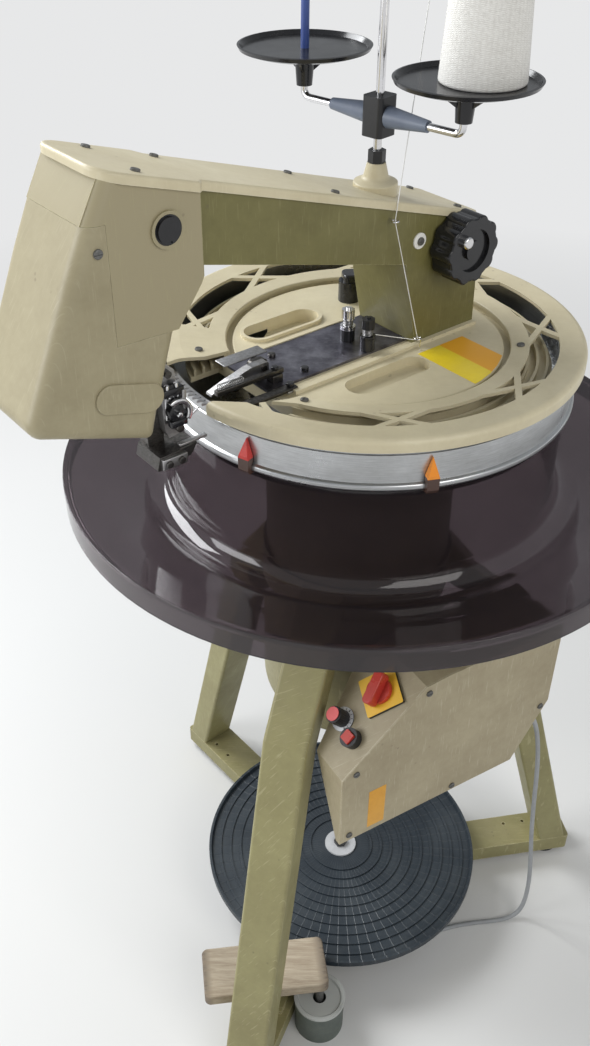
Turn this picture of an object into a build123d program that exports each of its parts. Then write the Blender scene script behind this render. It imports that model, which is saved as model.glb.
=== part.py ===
from build123d import *
import math
import os

os.makedirs("parts", exist_ok=True)

# A dial linking machine: a tripod stand, a turning dial of points under an openwork ring,
# a sloping arm with a sewing head, a smoked work bowl, a control box and a yarn stand.
# Millimetres, +Z up. Shapes are drawn from the dial's axis, and moved as they are written so
# that the origin lies on the floor under the middle of the machine.

# Middle of the machine's outline, seen from the dial's axis
middle_x = 9.0
middle_y = -5.2

# Heights on the machine
ring_top = 1040.0
plate_drop = 14.0
flange_drop = 30.0
column_drop = 36.0
bearing_drop = 66.0
shoulder_drop = 74.0
bed_bottom = 740.0
housing_bottom = 450.0

# Clearances
running_gap = 0.3
shaft_gap = 0.05

# Openwork ring
ring_outer = 250.0
ring_inner = 165.0
ring_skirt = 15.0
ring_wall = 4.0
rim_fall = 9.0
window_outer = 219.0
window_inner = 186.0
lattice_radius = 202.0
lattice_bar = 7.0
lattice_angle = 33.0
lattice_first = -128.0
lattice_pitch = 43.1
lattice_count = 8
lip_inner = 168.0
lip_width = 4.0
mouth_low = -65.0
mouth_high = 69.0

# Centre plate and the steel band on it
plate_radius = 158.0
band_low = -33.0
band_high = 46.0
band_thick = 3.0
band_start = -172.0
pocket_width = 36.0
pocket_depth = 12.0

# Dial
dial_radius = 240.0
dial_wall = 7.0
flange_play = 19.0
dial_lip = 3.5
dial_web = 8.0
point_count = 180
point_reach = 4.0
point_thick = 2.0
gear_module = 2.5
gear_teeth = 100
gear_thick = 10.0
gear_rim = 10.0
pinion_teeth = 32
pinion_azimuth = 200.0
shaft_radius = 7.0

# Bed casting and drive housing
column_radius = 120.0
column_wall = 8.0
shoulder_radius = 229.0
shoulder_thick = 6.0
housing_radius = 125.0
housing_wall = 8.0
housing_round = 60.0
motor_radius = 58.0

# Work bowl
bowl_inner = 232.0
bowl_rim = 367.0
bowl_depth = 148.0
bowl_rise = 54.0
bowl_skirt = 26.0
bowl_wall = 4.0

# Stand
leg_width = 60.0
leg_depth = 45.0
leg_azimuths = {"front": 246.5, "left": 129.5, "right": 9.5}
leg_bend = (227.0, 562.0)
leg_slope = 52.3
leg_splay = 15.8
foot_top = 44.0
foot_height = 14.0
foot_reach = 405.0
foot_radius = 25.0
hub_radius = 45.0
hub_top = 50.0

# Turning tray near the floor
tray_radius = 224.0
tray_top = 74.0
tray_thick = 4.0
tray_lip = 6.0
tray_pin = 8.0
tray_rib_pitch = 17.0

# Arm and column, drawn along the arm (u) and across it (v)
arm_azimuth = 38.0
arm_half = 47.0
arm_wall = 7.0
arm_slope = 16.7
column_top = 118.0
column_back = 108.0
column_foot_near = 31.0
column_foot_far = 126.0
lid_thick = 9.0
lid_overhang = 3.0

# Sewing head
head_half = 56.0
head_wall = 4.0
nose_u = -359.0
seam_z = 109.0
nose_top = 222.0
seam_gap = 0.3
head_shaft_u = -299.0
head_shaft_z = 204.0

# Handwheel
wheel_u = 79.0
wheel_z = 97.0
wheel_radius = 39.0
wheel_thick = 29.0
wheel_lobes = 10
belt_radius = 15.0
belt_thick = 2.5
belt_width = 12.0
bearing_radius = 14.0

# Yarn stand
rod_radius = 4.5
rod_top = 612.0
stand_azimuth = -43.5
stand_reach = 104.0
hub_z = 238.0
yarn_plate_z = 287.0
yarn_plate_radius = 72.0
spindle_radius = 4.5
spindle_length = 190.0
cone_base = 42.5
cone_top = 33.0
cone_height = 170.0
cone_bore = 22.0
cone_shift = 14.0

# Control box
box_azimuth = 30.0
box_inner = 125.0
box_outer = 224.0
box_sheet = 2.0
button_travel = 4.0

# Cords
cable_radius = 3.5
thread_radius = 0.5


def outline(points, rounds=None):
    """A flat face from corner points, with some corners rounded."""
    radii = [0.0] * len(points)
    for index, radius in (rounds or {}).items():
        radii[index] = radius
    return make_face(FilletPolyline(*points, radius=radii, close=True))


def turned(points, rounds=None):
    """A body of revolution about Z from (radius, height) points."""
    return revolve(Plane.XZ * outline(points, rounds), Axis.Z, 360)


def ring(inner, outer, low, high):
    """A plain ring about Z."""
    return turned([(inner, low), (outer, low), (outer, high), (inner, high)])


def post(radius, low, high, x=0.0, y=0.0):
    """An upright cylinder between two heights."""
    return Pos(x, y, (low + high) / 2) * Cylinder(radius, high - low)


def upright(points, low, high, rounds=None):
    """A slab with the given outline across the part's width, standing along X and Z."""
    return extrude(Plane.XZ.offset(-high) * outline(points, rounds), high - low)


def cross_rod(radius, low, high, x, z):
    """A cylinder lying along Y."""
    return Pos(x, (low + high) / 2, z) * Rot(90, 0, 0) * Cylinder(radius, high - low)


def along_arm(shape):
    """Turns what is drawn along X into the direction of the arm."""
    return Rot(0, 0, arm_azimuth) * shape


def lift(points):
    """Moves points measured from the ring's top to heights above the floor."""
    return [(u, ring_top + z) for u, z in points]


def put(node, *shapes):
    """Writes one named piece, or one group of like pieces, in the frame of the whole machine."""
    solids = []
    for shape in shapes:
        solids.extend(Pos(-middle_x, -middle_y, 0) * solid for solid in shape.solids())
    body = solids[0] if len(solids) == 1 else Compound(children=solids)
    body.label = node
    export_step(body, f"parts/{node}.step")


def lid_line(u):
    """Height of the arm's top face above the ring, at a place along the arm."""
    return column_top + (column_back - u) * math.tan(math.radians(arm_slope))


# Openwork ring

skin_outer = ring_outer - ring_wall
ring_section = lift([
    (ring_outer, -ring_skirt),
    (ring_outer, 0.0),
    (window_outer, -2.0),
    (ring_inner, -rim_fall),
    (ring_inner, -rim_fall - ring_wall),
    (lip_inner, -rim_fall - ring_wall),
    (lip_inner, -plate_drop - ring_wall - 2.0),
    (lip_inner + lip_width, -plate_drop - ring_wall - 2.0),
    (lip_inner + lip_width, -rim_fall - ring_wall + 0.5),
    (window_outer, -2.0 - ring_wall),
    (skin_outer, -ring_wall - 0.5),
    (skin_outer, -ring_skirt),
])
ring_blank = turned(ring_section, {1: 6.0, 3: 1.5})

lattice = Sketch()
for index in range(lattice_count):
    azimuth = lattice_first + index * lattice_pitch
    for side in (-1, 1):
        bar = Rectangle(95.0, lattice_bar)
        lattice += Rot(0, 0, azimuth) * Pos(lattice_radius, 0) * Rot(0, 0, 90 + side * lattice_angle) * bar
last_lattice = lattice_first + (lattice_count - 1) * lattice_pitch
solid_start = last_lattice + 3.0
solid_end = lattice_first + 360.0 - 2.0
solid_reach = 2.0 * ring_outer
solid_sector = make_face(Polyline(
    (0.0, 0.0),
    (solid_reach * math.cos(math.radians(solid_start)), solid_reach * math.sin(math.radians(solid_start))),
    (solid_reach * math.cos(math.radians(solid_end)), solid_reach * math.sin(math.radians(solid_end))),
    close=True))
windows = Circle(window_outer) - Circle(window_inner) - lattice - solid_sector
window_cut = extrude(Pos(0, 0, ring_top - 40.0) * windows, 60.0)
mouth_points = [
    (-300.0, -16.0),
    (-240.0, -29.0),
    (-205.0, mouth_low + 8.0),
    (-169.0, mouth_low),
    (-100.0, mouth_low),
    (-100.0, mouth_high),
    (-185.0, mouth_high - 5.0),
    (-216.0, mouth_high + 4.0),
    (-300.0, mouth_high - 3.0),
]
mouth = along_arm(extrude(Pos(0, 0, ring_top - 60.0) * outline(mouth_points), 90.0))
top_ring = ring_blank - window_cut - mouth
ring_screw_places = [(200.0, -166.0), (175.5, -116.0), (176.0, -11.0)]
put("top_ring", top_ring)

# Centre plate with its two tool pockets, band channel and guide ribs

plate_top = ring_top - plate_drop
flange_top = ring_top - flange_drop
lip_seat = ring_top - plate_drop - ring_wall - 2.0
plate_bottom = ring_top - column_drop
flange_radius = dial_radius - dial_wall - flange_play
centre_plate = turned([
    (0.0, plate_bottom),
    (flange_radius, plate_bottom),
    (flange_radius, flange_top),
    (lip_inner + lip_width + 3.0, flange_top),
    (lip_inner + lip_width + 3.0, lip_seat),
    (plate_radius, lip_seat),
    (plate_radius, plate_top),
    (0.0, plate_top),
], {6: 1.5})
for rib_radius in (flange_radius - 28.0, flange_radius - 17.0, flange_radius - 6.0):
    centre_plate += ring(rib_radius - 1.5, rib_radius + 1.5, flange_top, flange_top + 8.0)
centre_plate -= ring(column_radius + 4.0, plate_radius - 8.0, plate_bottom, plate_top - 8.0)
rib_low = -arm_half - running_gap - 6.0
for low, start, stop in ((rib_low, -150.0, column_foot_far), (band_high + 1.0, -140.0, 22.0)):
    rib = Pos((start + stop) / 2, low + 3.0, plate_top + 2.0) * Box(stop - start, 6.0, 4.0)
    centre_plate += along_arm(rib)


def pocket(u_start, u_stop, v_centre, low, high, grow=0.0):
    """A long round-ended recess in the plate."""
    slot = SlotOverall(u_stop - u_start + 2 * grow, pocket_width + 2 * grow)
    return Pos((u_start + u_stop) / 2, v_centre, low) * extrude(slot, high - low)


left_lip = pocket(-112.0, -8.0, 86.0, plate_top, plate_top + 4.0, 4.0)
centre_plate += along_arm(left_lip)
for u_start, u_stop, v_centre in ((-112.0, -8.0, 86.0), (-100.0, 16.0, -82.0)):
    centre_plate -= along_arm(pocket(u_start, u_stop, v_centre, plate_top - pocket_depth, plate_top + 9.0))
flange_gap = [(-300.0, -70.0), (-163.0, -70.0), (-163.0, 72.0), (-300.0, 72.0)]
centre_plate -= along_arm(extrude(Pos(0, 0, plate_bottom - 5.0) * outline(flange_gap), 40.0))
put("centre_plate", centre_plate)

band_end = column_foot_near - 1.0
band_points = [(band_start, band_low), (band_end, band_low), (band_end, band_high), (band_start, band_high)]
band_plate = extrude(Pos(0, 0, plate_top) * outline(band_points, {0: 6.0, 3: 6.0}), band_thick)
put("band_plate", along_arm(band_plate))

# Dial, its ring of points, its gear and its two clip markers

dial_bottom = ring_top - bearing_drop
web_top = dial_bottom + dial_web
gear_pitch_radius = gear_module * gear_teeth / 2
gear_outer = gear_pitch_radius + 1.25 * gear_module + gear_rim
point_base = ring_top - ring_skirt + 2.0
dial_ring = turned([
    (gear_outer, dial_bottom),
    (dial_radius + dial_lip, dial_bottom),
    (dial_radius + dial_lip, dial_bottom + 7.0),
    (dial_radius, dial_bottom + 9.0),
    (dial_radius, ring_top - 24.0),
    (dial_radius - 1.5, ring_top - 23.0),
    (dial_radius - 1.5, ring_top - 20.0),
    (dial_radius, ring_top - 19.0),
    (dial_radius, point_base),
    (dial_radius - dial_wall, point_base),
    (dial_radius - dial_wall, web_top),
    (gear_outer, web_top),
], {1: 3.0, 2: 2.5})
put("dial_ring", dial_ring)

tip_radius = dial_radius + point_reach
tooth_span = 2 * math.pi / point_count
point_outline = []
for index in range(point_count):
    start = index * tooth_span
    for share, radius in ((0.0, dial_radius - 4.0), (0.32, tip_radius),
                          (0.45, tip_radius), (0.77, dial_radius - 4.0)):
        angle = start + share * tooth_span
        point_outline.append((radius * math.cos(angle), radius * math.sin(angle)))
point_face = make_face(Polyline(*point_outline, close=True)) - Circle(dial_radius - dial_wall)
put("point_ring", extrude(Pos(0, 0, point_base) * point_face, point_thick))


def gear_face(teeth, inside):
    """Outline of a gear's teeth. An inside gear's outline is the hole in its rim."""
    pitch = gear_module * teeth / 2
    add = gear_module * (0.85 if inside else 0.9)
    ded = gear_module * 1.2
    tip = pitch - add if inside else pitch + add
    root = pitch + ded if inside else pitch - ded
    step = 2 * math.pi / teeth
    slim = 0.17 if inside else 0.16
    points = []
    for index in range(teeth):
        middle = index * step
        for share, radius in ((-0.30, root), (-slim + 0.04, tip), (slim - 0.04, tip), (0.30, root)):
            angle = middle + share * step
            points.append((radius * math.cos(angle), radius * math.sin(angle)))
    return make_face(Polyline(*points, close=True))


gear_low = web_top
gear_offset = gear_pitch_radius - gear_module * pinion_teeth / 2
ring_tooth_turn = pinion_azimuth
gear_hole = Rot(0, 0, ring_tooth_turn) * gear_face(gear_teeth, True)
ring_gear = extrude(Pos(0, 0, gear_low) * (Circle(gear_outer + 6.0) - gear_hole), gear_thick)
put("ring_gear", ring_gear)

pinion_x = gear_offset * math.cos(math.radians(pinion_azimuth))
pinion_y = gear_offset * math.sin(math.radians(pinion_azimuth))
half_tooth = 180.0 / pinion_teeth
gearbox_top = 700.0
pinion_face = Rot(0, 0, pinion_azimuth + half_tooth) * gear_face(pinion_teeth, False)
pinion = extrude(Pos(pinion_x, pinion_y, gear_low) * pinion_face, gear_thick)
pinion += post(shaft_radius, gearbox_top - 24.0, gear_low + 0.5, pinion_x, pinion_y)
put("pinion_shaft", pinion)

markers = []
for azimuth in (-124.4, -78.0):
    side = dial_radius + dial_lip + 0.2
    clip = upright(lift([
        (side - 3.0, -27.0),
        (side - 0.5, -27.0),
        (side + 6.0, -46.0),
        (side + 6.0, -63.0),
        (side + 3.0, -68.0),
        (side - 14.0, -68.0),
        (side - 14.0, -66.2),
        (side, -66.2),
        (side, -57.0),
        (side - 3.0, -55.0),
    ]), -6.5, 6.5)
    taper = Pos(side, 0, ring_top - 27.0) * Rot(0, 90, 0) * extrude(
        outline([(0.0, 0.0), (22.0, 6.5), (50.0, 6.5), (50.0, -6.5), (22.0, -6.5)]), 40.0, both=True)
    markers.append(Rot(0, 0, azimuth) * (clip & taper))
put("dial_markers", *markers)

# Bed casting: hollow column, shoulder under the dial, and the web that holds the pinion shaft

shoulder_top = ring_top - shoulder_drop
column_inner = column_radius - column_wall
web_low = shoulder_top - 10.0
bed_casting = turned([
    (column_inner, bed_bottom),
    (column_radius, bed_bottom),
    (column_radius, shoulder_top - shoulder_thick - 30.0),
    (shoulder_radius, shoulder_top - shoulder_thick),
    (shoulder_radius, shoulder_top),
    (column_radius, shoulder_top),
    (column_radius, plate_bottom),
    (0.0, plate_bottom),
    (0.0, plate_bottom - 8.0),
    (column_inner, plate_bottom - 8.0),
], {2: 20.0})
bed_casting += post(column_inner, web_low - 2.0, web_low + 6.0)
bed_casting -= post(bearing_radius, web_low - 10.0, web_low + 20.0, pinion_x, pinion_y)
pinion_outer = gear_module * (pinion_teeth / 2 + 1)
window_box = Pos(gear_offset + 20.0, 0, gear_low + gear_thick / 2) * Box(
    2 * pinion_outer, 1.9 * pinion_outer, gear_thick + 6.0)
bed_casting -= Rot(0, 0, pinion_azimuth) * window_box
put("bed_casting", bed_casting)

housing_outer = turned([
    (0.0, housing_bottom),
    (housing_radius, housing_bottom),
    (housing_radius, bed_bottom),
    (0.0, bed_bottom),
], {1: housing_round})
housing_hollow = turned([
    (0.0, housing_bottom + housing_wall),
    (housing_radius - housing_wall, housing_bottom + housing_wall),
    (housing_radius - housing_wall, bed_bottom - housing_wall),
    (column_inner, bed_bottom - housing_wall),
    (column_inner, bed_bottom + 1.0),
    (0.0, bed_bottom + 1.0),
], {1: housing_round - housing_wall})
pad_half = 45.0
box_pad = Pos(0, -(box_inner - 12.0), 555.0) * Box(2 * pad_half, 24.0, 130.0)
drive_housing = housing_outer + Rot(0, 0, box_azimuth) * box_pad - housing_hollow
put("drive_housing", drive_housing)

motor_seat = housing_bottom + housing_wall
gear_motor = post(motor_radius, motor_seat, 640.0)
gear_motor += post(housing_radius - housing_wall - 4.0, 640.0, gearbox_top)
gear_motor -= post(shaft_radius + shaft_gap, gearbox_top - 25.0, gearbox_top + 5.0, pinion_x, pinion_y)
put("gear_motor", gear_motor)

# Work bowl of smoked plastic, hung from the shoulder

bowl_top = shoulder_top
bowl_foot = bowl_top - bowl_depth
bowl_span = bowl_rim - bowl_inner
bowl_line = [
    (shoulder_radius - 9.0, bowl_top),
    (bowl_inner, bowl_top),
    (bowl_inner + 1.0, bowl_foot),
    (bowl_inner + 0.355 * bowl_span, bowl_foot + 0.52 * bowl_rise),
    (bowl_inner + 0.68 * bowl_span, bowl_foot + 0.815 * bowl_rise),
    (bowl_rim, bowl_foot + bowl_rise),
    (bowl_rim, bowl_foot + bowl_rise - bowl_skirt),
]
bowl_radii = [2.0, 0.19 * bowl_span, 0.44 * bowl_span, 0.66 * bowl_span, 5.0]


def offset_line(points, amount):
    """The same line moved to its right by the wall, corner by corner."""
    moved = []
    for index, point in enumerate(points):
        before = points[max(index - 1, 0)]
        after = points[min(index + 1, len(points) - 1)]
        ways = []
        for first, second in ((before, point), (point, after)):
            length = math.hypot(second[0] - first[0], second[1] - first[1])
            if length > 0:
                ways.append(((second[0] - first[0]) / length, (second[1] - first[1]) / length))
        normal = (sum(way[1] for way in ways), -sum(way[0] for way in ways))
        length = math.hypot(*normal)
        normal = (normal[0] / length, normal[1] / length)
        cosine = normal[0] * ways[0][1] - normal[1] * ways[0][0]
        moved.append((point[0] + normal[0] * amount / cosine, point[1] + normal[1] * amount / cosine))
    return moved


def walled(points, radii, wall, turns):
    """A turned wall of even thickness along a line. turns says which way each corner bends."""
    inner = offset_line(points, wall)
    inner_radii = []
    for radius, way in zip(radii, turns):
        inner_radii.append(max(radius + way * wall, 0.5))
    upper = FilletPolyline(*points, radius=radii)
    lower = FilletPolyline(*inner, radius=inner_radii)
    ends = Line(points[0], inner[0]) + Line(points[-1], inner[-1])
    return revolve(Plane.XZ * make_face(upper + lower + ends), Axis.Z, 360)


work_bowl = walled(bowl_line, bowl_radii, -bowl_wall, (1, 1, -1, -1, 1))
put("work_bowl", work_bowl)

# Stand: three bent box legs on a three-armed foot that carries the treadle's bracket


def bar_outline(points, depth):
    """A bar of even depth along a bent line."""
    outer = offset_line(points, depth / 2)
    inner = offset_line(points, -depth / 2)
    return outer + inner[::-1]


slope = math.radians(leg_slope)
splay = math.radians(leg_splay)
leg_start = (leg_bend[0] - 127.0, leg_bend[1] + 127.0 * math.tan(slope))
leg_end = (leg_bend[0] + (leg_bend[1] - foot_top) * math.tan(splay), foot_top)
leg_below = (leg_end[0] + 20.0 * math.tan(splay), foot_top - 20.0)
leg_face_points = bar_outline([leg_start, leg_bend, leg_below], leg_depth)
leg_blank = upright(leg_face_points, -leg_width / 2, leg_width / 2, {1: 8.0, 4: 4.0})
long_edges = leg_blank.edges().filter_by(lambda edge: edge.length > 150.0)
leg_blank = fillet(long_edges, 5.0)
leg_blank -= Pos(0, 0, foot_top - 50.0) * Box(2000.0, 200.0, 100.0)
leg_blank -= post(housing_radius, housing_bottom, bed_bottom + 60.0)
for name, azimuth in leg_azimuths.items():
    put(f"leg_{name}", Rot(0, 0, azimuth) * leg_blank)

foot_frame = post(hub_radius, foot_height, hub_top)
for azimuth in leg_azimuths.values():
    arm = Pos(foot_reach / 2, 0, (foot_height + foot_top) / 2) * Box(
        foot_reach, leg_width, foot_top - foot_height)
    arm = fillet(arm.edges().filter_by(Axis.Z).group_by(Axis.X)[-1], 6.0)
    for reach in (300.0, 335.0):
        arm -= post(3.0, foot_top - 5.0, foot_top + 5.0, reach, 14.0)
    foot_frame += Rot(0, 0, azimuth) * arm
foot_frame += post(tray_pin, hub_top - 10.0, tray_top)
treadle_azimuth = leg_azimuths["front"]
treadle_reach = foot_reach - 126.0
pivot_z = 76.0
bracket_base = Pos(0, 0, foot_top + 2.0) * Box(46.0, 40.0, 4.0)
for side in (-1, 1):
    ear = Pos(side * 18.0, 0, (foot_top + pivot_z + 6.0) / 2 + 2.0) * Box(
        4.0, 20.0, pivot_z + 6.0 - foot_top - 4.0)
    bracket_base += ear
bracket_base += Pos(0, 0, pivot_z) * Rot(0, 90, 0) * Cylinder(4.0, 44.0)
foot_frame_place = Rot(0, 0, treadle_azimuth) * Pos(treadle_reach, 0, 0)
foot_frame += foot_frame_place * bracket_base
put("foot_frame", foot_frame)

feet = []
for azimuth in leg_azimuths.values():
    foot = turned([(0.0, 0.0), (foot_radius, 0.0), (foot_radius, foot_height), (0.0, foot_height)], {1: 3.0})
    feet.append(Rot(0, 0, azimuth) * Pos(foot_reach - 32.0, 0, 0) * foot)
put("rubber_feet", *feet)

# Turning tray

tray_section = [
    (tray_pin + shaft_gap, hub_top),
    (30.0, hub_top),
    (34.0, tray_top - tray_thick),
    (tray_radius, tray_top - tray_thick),
    (tray_radius, tray_top + tray_lip),
    (tray_radius - 4.0, tray_top + tray_lip),
    (tray_radius - 6.0, tray_top),
    (tray_pin + shaft_gap, tray_top),
]
tray_disc = turned(tray_section)
rib_radius = 52.0
while rib_radius < tray_radius - 12.0:
    tray_disc += ring(rib_radius - 2.0, rib_radius + 2.0, tray_top - 1.0, tray_top + 2.0)
    rib_radius += tray_rib_pitch
put("tray_disc", tray_disc)
washer = ring(tray_pin + shaft_gap, 26.0, tray_top, tray_top + 3.0)
bolt_head = Pos(0, 0, tray_top + 3.0) * extrude(RegularPolygon(11.0, 6), 6.0)
put("tray_washer", washer, bolt_head)

# Arm and column: one hollow casting, open on top under its lid

arm_outline = lift([
    (column_foot_near, -plate_drop),
    (column_foot_far, -plate_drop),
    (column_foot_far - 3.0, 72.0),
    (column_back, column_top),
    (nose_u, lid_line(nose_u)),
    (nose_u - 20.0, nose_top),
    (nose_u, nose_top),
    (nose_u, seam_z),
    (head_shaft_u + 6.0, seam_z - 2.0),
    (-265.0, 145.0),
    (-259.0, 158.0),
    (8.0, 89.0),
])
arm_face = outline(arm_outline, {9: 10.0, 2: 8.0})
arm_shell = extrude(Plane.XZ.offset(-arm_half) * arm_face, 2 * arm_half)
head_clip = upright(lift([(-420.0, 90.0), (-262.0, 90.0), (-262.0, 280.0), (-420.0, 280.0)]),
                    -head_half, head_half)
head_block = extrude(Plane.XZ.offset(-head_half) * arm_face, 2 * head_half) & head_clip
nose_edges = [edge for edge in head_block.edges() if edge.center().X < nose_u - 2.0
              and abs(abs(edge.center().Y) - head_half) < 0.5 and edge.length > 20.0]
head_block = fillet(nose_edges, 14.0)
hollow_face = offset(arm_face, amount=-arm_wall, kind=Kind.INTERSECTION)
arm_hollow = extrude(Plane.XZ.offset(-(arm_half - arm_wall)) * hollow_face, 2 * (arm_half - arm_wall))
head_hollow = extrude(Plane.XZ.offset(-(head_half - arm_wall)) * hollow_face, 2 * (head_half - arm_wall))
head_hollow = head_hollow & (Pos(-(arm_wall + 2.0), 0, 0) * head_clip)
lid_lift = Pos(0.43 * arm_wall, 0, 1.2 * arm_wall)
arm_casting = arm_shell + head_block
boss_z = ring_top + head_shaft_z
arm_casting += cross_rod(17.0, -head_half - 2.5, -head_half + 1.0, head_shaft_u, boss_z)
for hollow in (arm_hollow, head_hollow):
    arm_casting -= hollow
    arm_casting -= lid_lift * hollow
wheel_height = ring_top + wheel_z
arm_casting -= cross_rod(bearing_radius, -arm_half - 5.0, arm_half + 5.0, wheel_u, wheel_height)
arm_casting -= cross_rod(bearing_radius, -head_half - 5.0, head_half + 5.0, head_shaft_u, boss_z)
put("arm_casting", along_arm(arm_casting))

lid_low = ring_top + lid_line(column_back + 6.0)
lid_far = ring_top + lid_line(nose_u - 4.0)
lid_rise = lid_thick / math.cos(math.radians(arm_slope))
lid_side = upright([
    (column_back + 6.0, lid_low),
    (nose_u - 4.0, lid_far),
    (nose_u - 4.0, lid_far + lid_rise),
    (column_back + 6.0, lid_low + lid_rise),
], -head_half - lid_overhang, head_half + lid_overhang)
lid_width = arm_half + lid_overhang
lid_head = head_half + lid_overhang
lid_plan = outline([
    (column_back + 6.0, -lid_width),
    (column_back + 6.0, lid_width),
    (-256.0, lid_width),
    (-264.0, lid_head),
    (nose_u - 4.0, lid_head),
    (nose_u - 4.0, -lid_head),
    (-264.0, -lid_head),
    (-256.0, -lid_width),
], {0: 8.0, 1: 8.0, 4: 26.0, 5: 26.0})
arm_lid = lid_side & extrude(Pos(0, 0, ring_top) * lid_plan, 400.0)
lid_top_edges = arm_lid.faces().sort_by(Axis.Z).filter_by(lambda face: face.normal_at().Z > 0.8)[-1].edges()
arm_lid = fillet(lid_top_edges, 3.0)
put("arm_lid", along_arm(arm_lid))

# Nose cover: a thin shell round the lower head, open towards the casting and the dial

nose_outline = lift([
    (nose_u - 20.0, nose_top - seam_gap),
    (-399.0, 180.0),
    (-458.0, 44.0),
    (-327.0, -4.0),
    (-319.0, 25.0),
    (head_shaft_u + 6.0, seam_z - 2.0 - seam_gap),
    (nose_u - seam_gap, seam_z - seam_gap),
    (nose_u - seam_gap, nose_top - seam_gap),
])
nose_face = outline(nose_outline, {1: 30.0, 2: 16.0, 3: 6.0})
nose_cover = extrude(Plane.XZ.offset(-head_half) * nose_face, 2 * head_half)
outer_edges = [edge for edge in nose_cover.edges() if abs(abs(edge.center().Y) - head_half) < 0.5
               and edge.center().X < nose_u - 13.0 and edge.length > 5.0
               and edge.center().Z < ring_top + nose_top - 1.0]
nose_cover = fillet(outer_edges, 14.0)
nose_hollow_face = offset(nose_face, amount=-head_wall, kind=Kind.INTERSECTION)
hollow_half = head_half - head_wall
nose_hollow = extrude(Plane.XZ.offset(-hollow_half) * nose_hollow_face, 2 * hollow_half)
inner_edges = [edge for edge in nose_hollow.edges() if abs(abs(edge.center().Y) - hollow_half) < 0.5
               and edge.center().X < nose_u - 13.0 and edge.length > 5.0
               and edge.center().Z < ring_top + nose_top - 5.0]
nose_hollow = fillet(inner_edges, 10.0)
nose_cover -= nose_hollow
nose_cover -= Pos(3 * head_wall, 0, 0) * nose_hollow
nose_cover -= Pos(2 * head_wall, 0, 3 * head_wall) * nose_hollow
pad_face = Plane.XZ.offset(head_half - 0.5) * Pos(-352.0, ring_top + 54.0) * Rot(
    0, 0, -arm_slope) * SlotOverall(74.0, 30.0)
pad = extrude(pad_face, 3.5)
pad = fillet(pad.faces().sort_by(Axis.Y)[0].edges(), 1.2)
nose_cover += pad
put("nose_cover", along_arm(nose_cover))

sight_plug = cross_rod(12.0, -head_half - 5.0, -head_half - 2.5, head_shaft_u, boss_z)
sight_plug += cross_rod(bearing_radius - 0.1, -head_half - 2.5, -head_half, head_shaft_u, boss_z)
sight_plug -= Pos(head_shaft_u, -head_half - 5.0, boss_z - 12.0) * Box(4.0, 3.0, 5.0)

# Drive inside the arm: handwheel shaft, belt and head shaft


def bearing_ring(y_low, y_high, x, z):
    """A plain ball bearing drawn as one ring."""
    outer = cross_rod(bearing_radius, y_low, y_high, x, z)
    return outer - cross_rod(shaft_radius + shaft_gap, y_low - 1.0, y_high + 1.0, x, z)


bearings = []
for half, x, z in ((arm_half, wheel_u, wheel_height), (head_half, head_shaft_u, boss_z)):
    bearings.append(along_arm(bearing_ring(-half, -half + arm_wall, x, z)))
    bearings.append(along_arm(bearing_ring(half - arm_wall, half, x, z)))
pinion_bearing = ring(shaft_radius + shaft_gap, bearing_radius, web_low - 2.0, web_low + 6.0)
bearings.append(Pos(pinion_x, pinion_y, 0) * pinion_bearing)
bearings.append(ring(column_radius + 4.0, column_radius + 34.0, shoulder_top, dial_bottom))
put("bearings", *bearings)

wheel_back = -arm_half - lid_overhang - running_gap
wheel_front = wheel_back - wheel_thick
hand_shaft = cross_rod(shaft_radius, wheel_front + 8.0, arm_half - 1.0, wheel_u, wheel_height)
hand_shaft += cross_rod(belt_radius, -belt_width / 2, belt_width / 2, wheel_u, wheel_height)

lobe_radius = wheel_radius - 3.0
wheel_face = Circle(lobe_radius)
for index in range(wheel_lobes):
    wheel_face += Rot(0, 0, index * 360.0 / wheel_lobes) * Pos(lobe_radius - 7.0, 0) * Circle(10.0)
handwheel = extrude(Plane.XZ * wheel_face, wheel_thick)
handwheel = fillet(handwheel.faces().sort_by(Axis.Y)[0].edges(), 2.0)
handwheel -= Pos(0, -wheel_thick, 0) * Rot(90, 0, 0) * Cylinder(24.0, 8.0)
handwheel += Pos(0, -wheel_thick / 2, 0) * Rot(90, 0, 0) * Cylinder(11.0, wheel_thick)
handwheel = Pos(wheel_u, wheel_back, wheel_height) * handwheel
handwheel -= cross_rod(shaft_radius + 0.02, wheel_front + 8.0, wheel_back + 5.0, wheel_u, wheel_height)
crank_button = cross_rod(7.0, wheel_front - 7.0, wheel_front + 4.0, wheel_u - 16.0, wheel_height + 14.0)
handwheel -= crank_button
crank_button = fillet(crank_button.faces().sort_by(Axis.Y)[0].edges(), 2.5)
put("handwheel", along_arm(handwheel))
put("hand_shaft", along_arm(hand_shaft), along_arm(crank_button))

head_shaft = cross_rod(shaft_radius, -head_half + 1.0, head_half - 1.0, head_shaft_u, boss_z)
head_shaft += cross_rod(belt_radius, -belt_width / 2, belt_width / 2, head_shaft_u, boss_z)
crank_web = cross_rod(23.0, -32.0, -24.0, head_shaft_u, boss_z)
crank_pin = cross_rod(4.0, -40.0, -32.0, head_shaft_u, boss_z - 16.0)
head_shaft += crank_web + crank_pin
put("head_shaft", along_arm(head_shaft))

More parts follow.
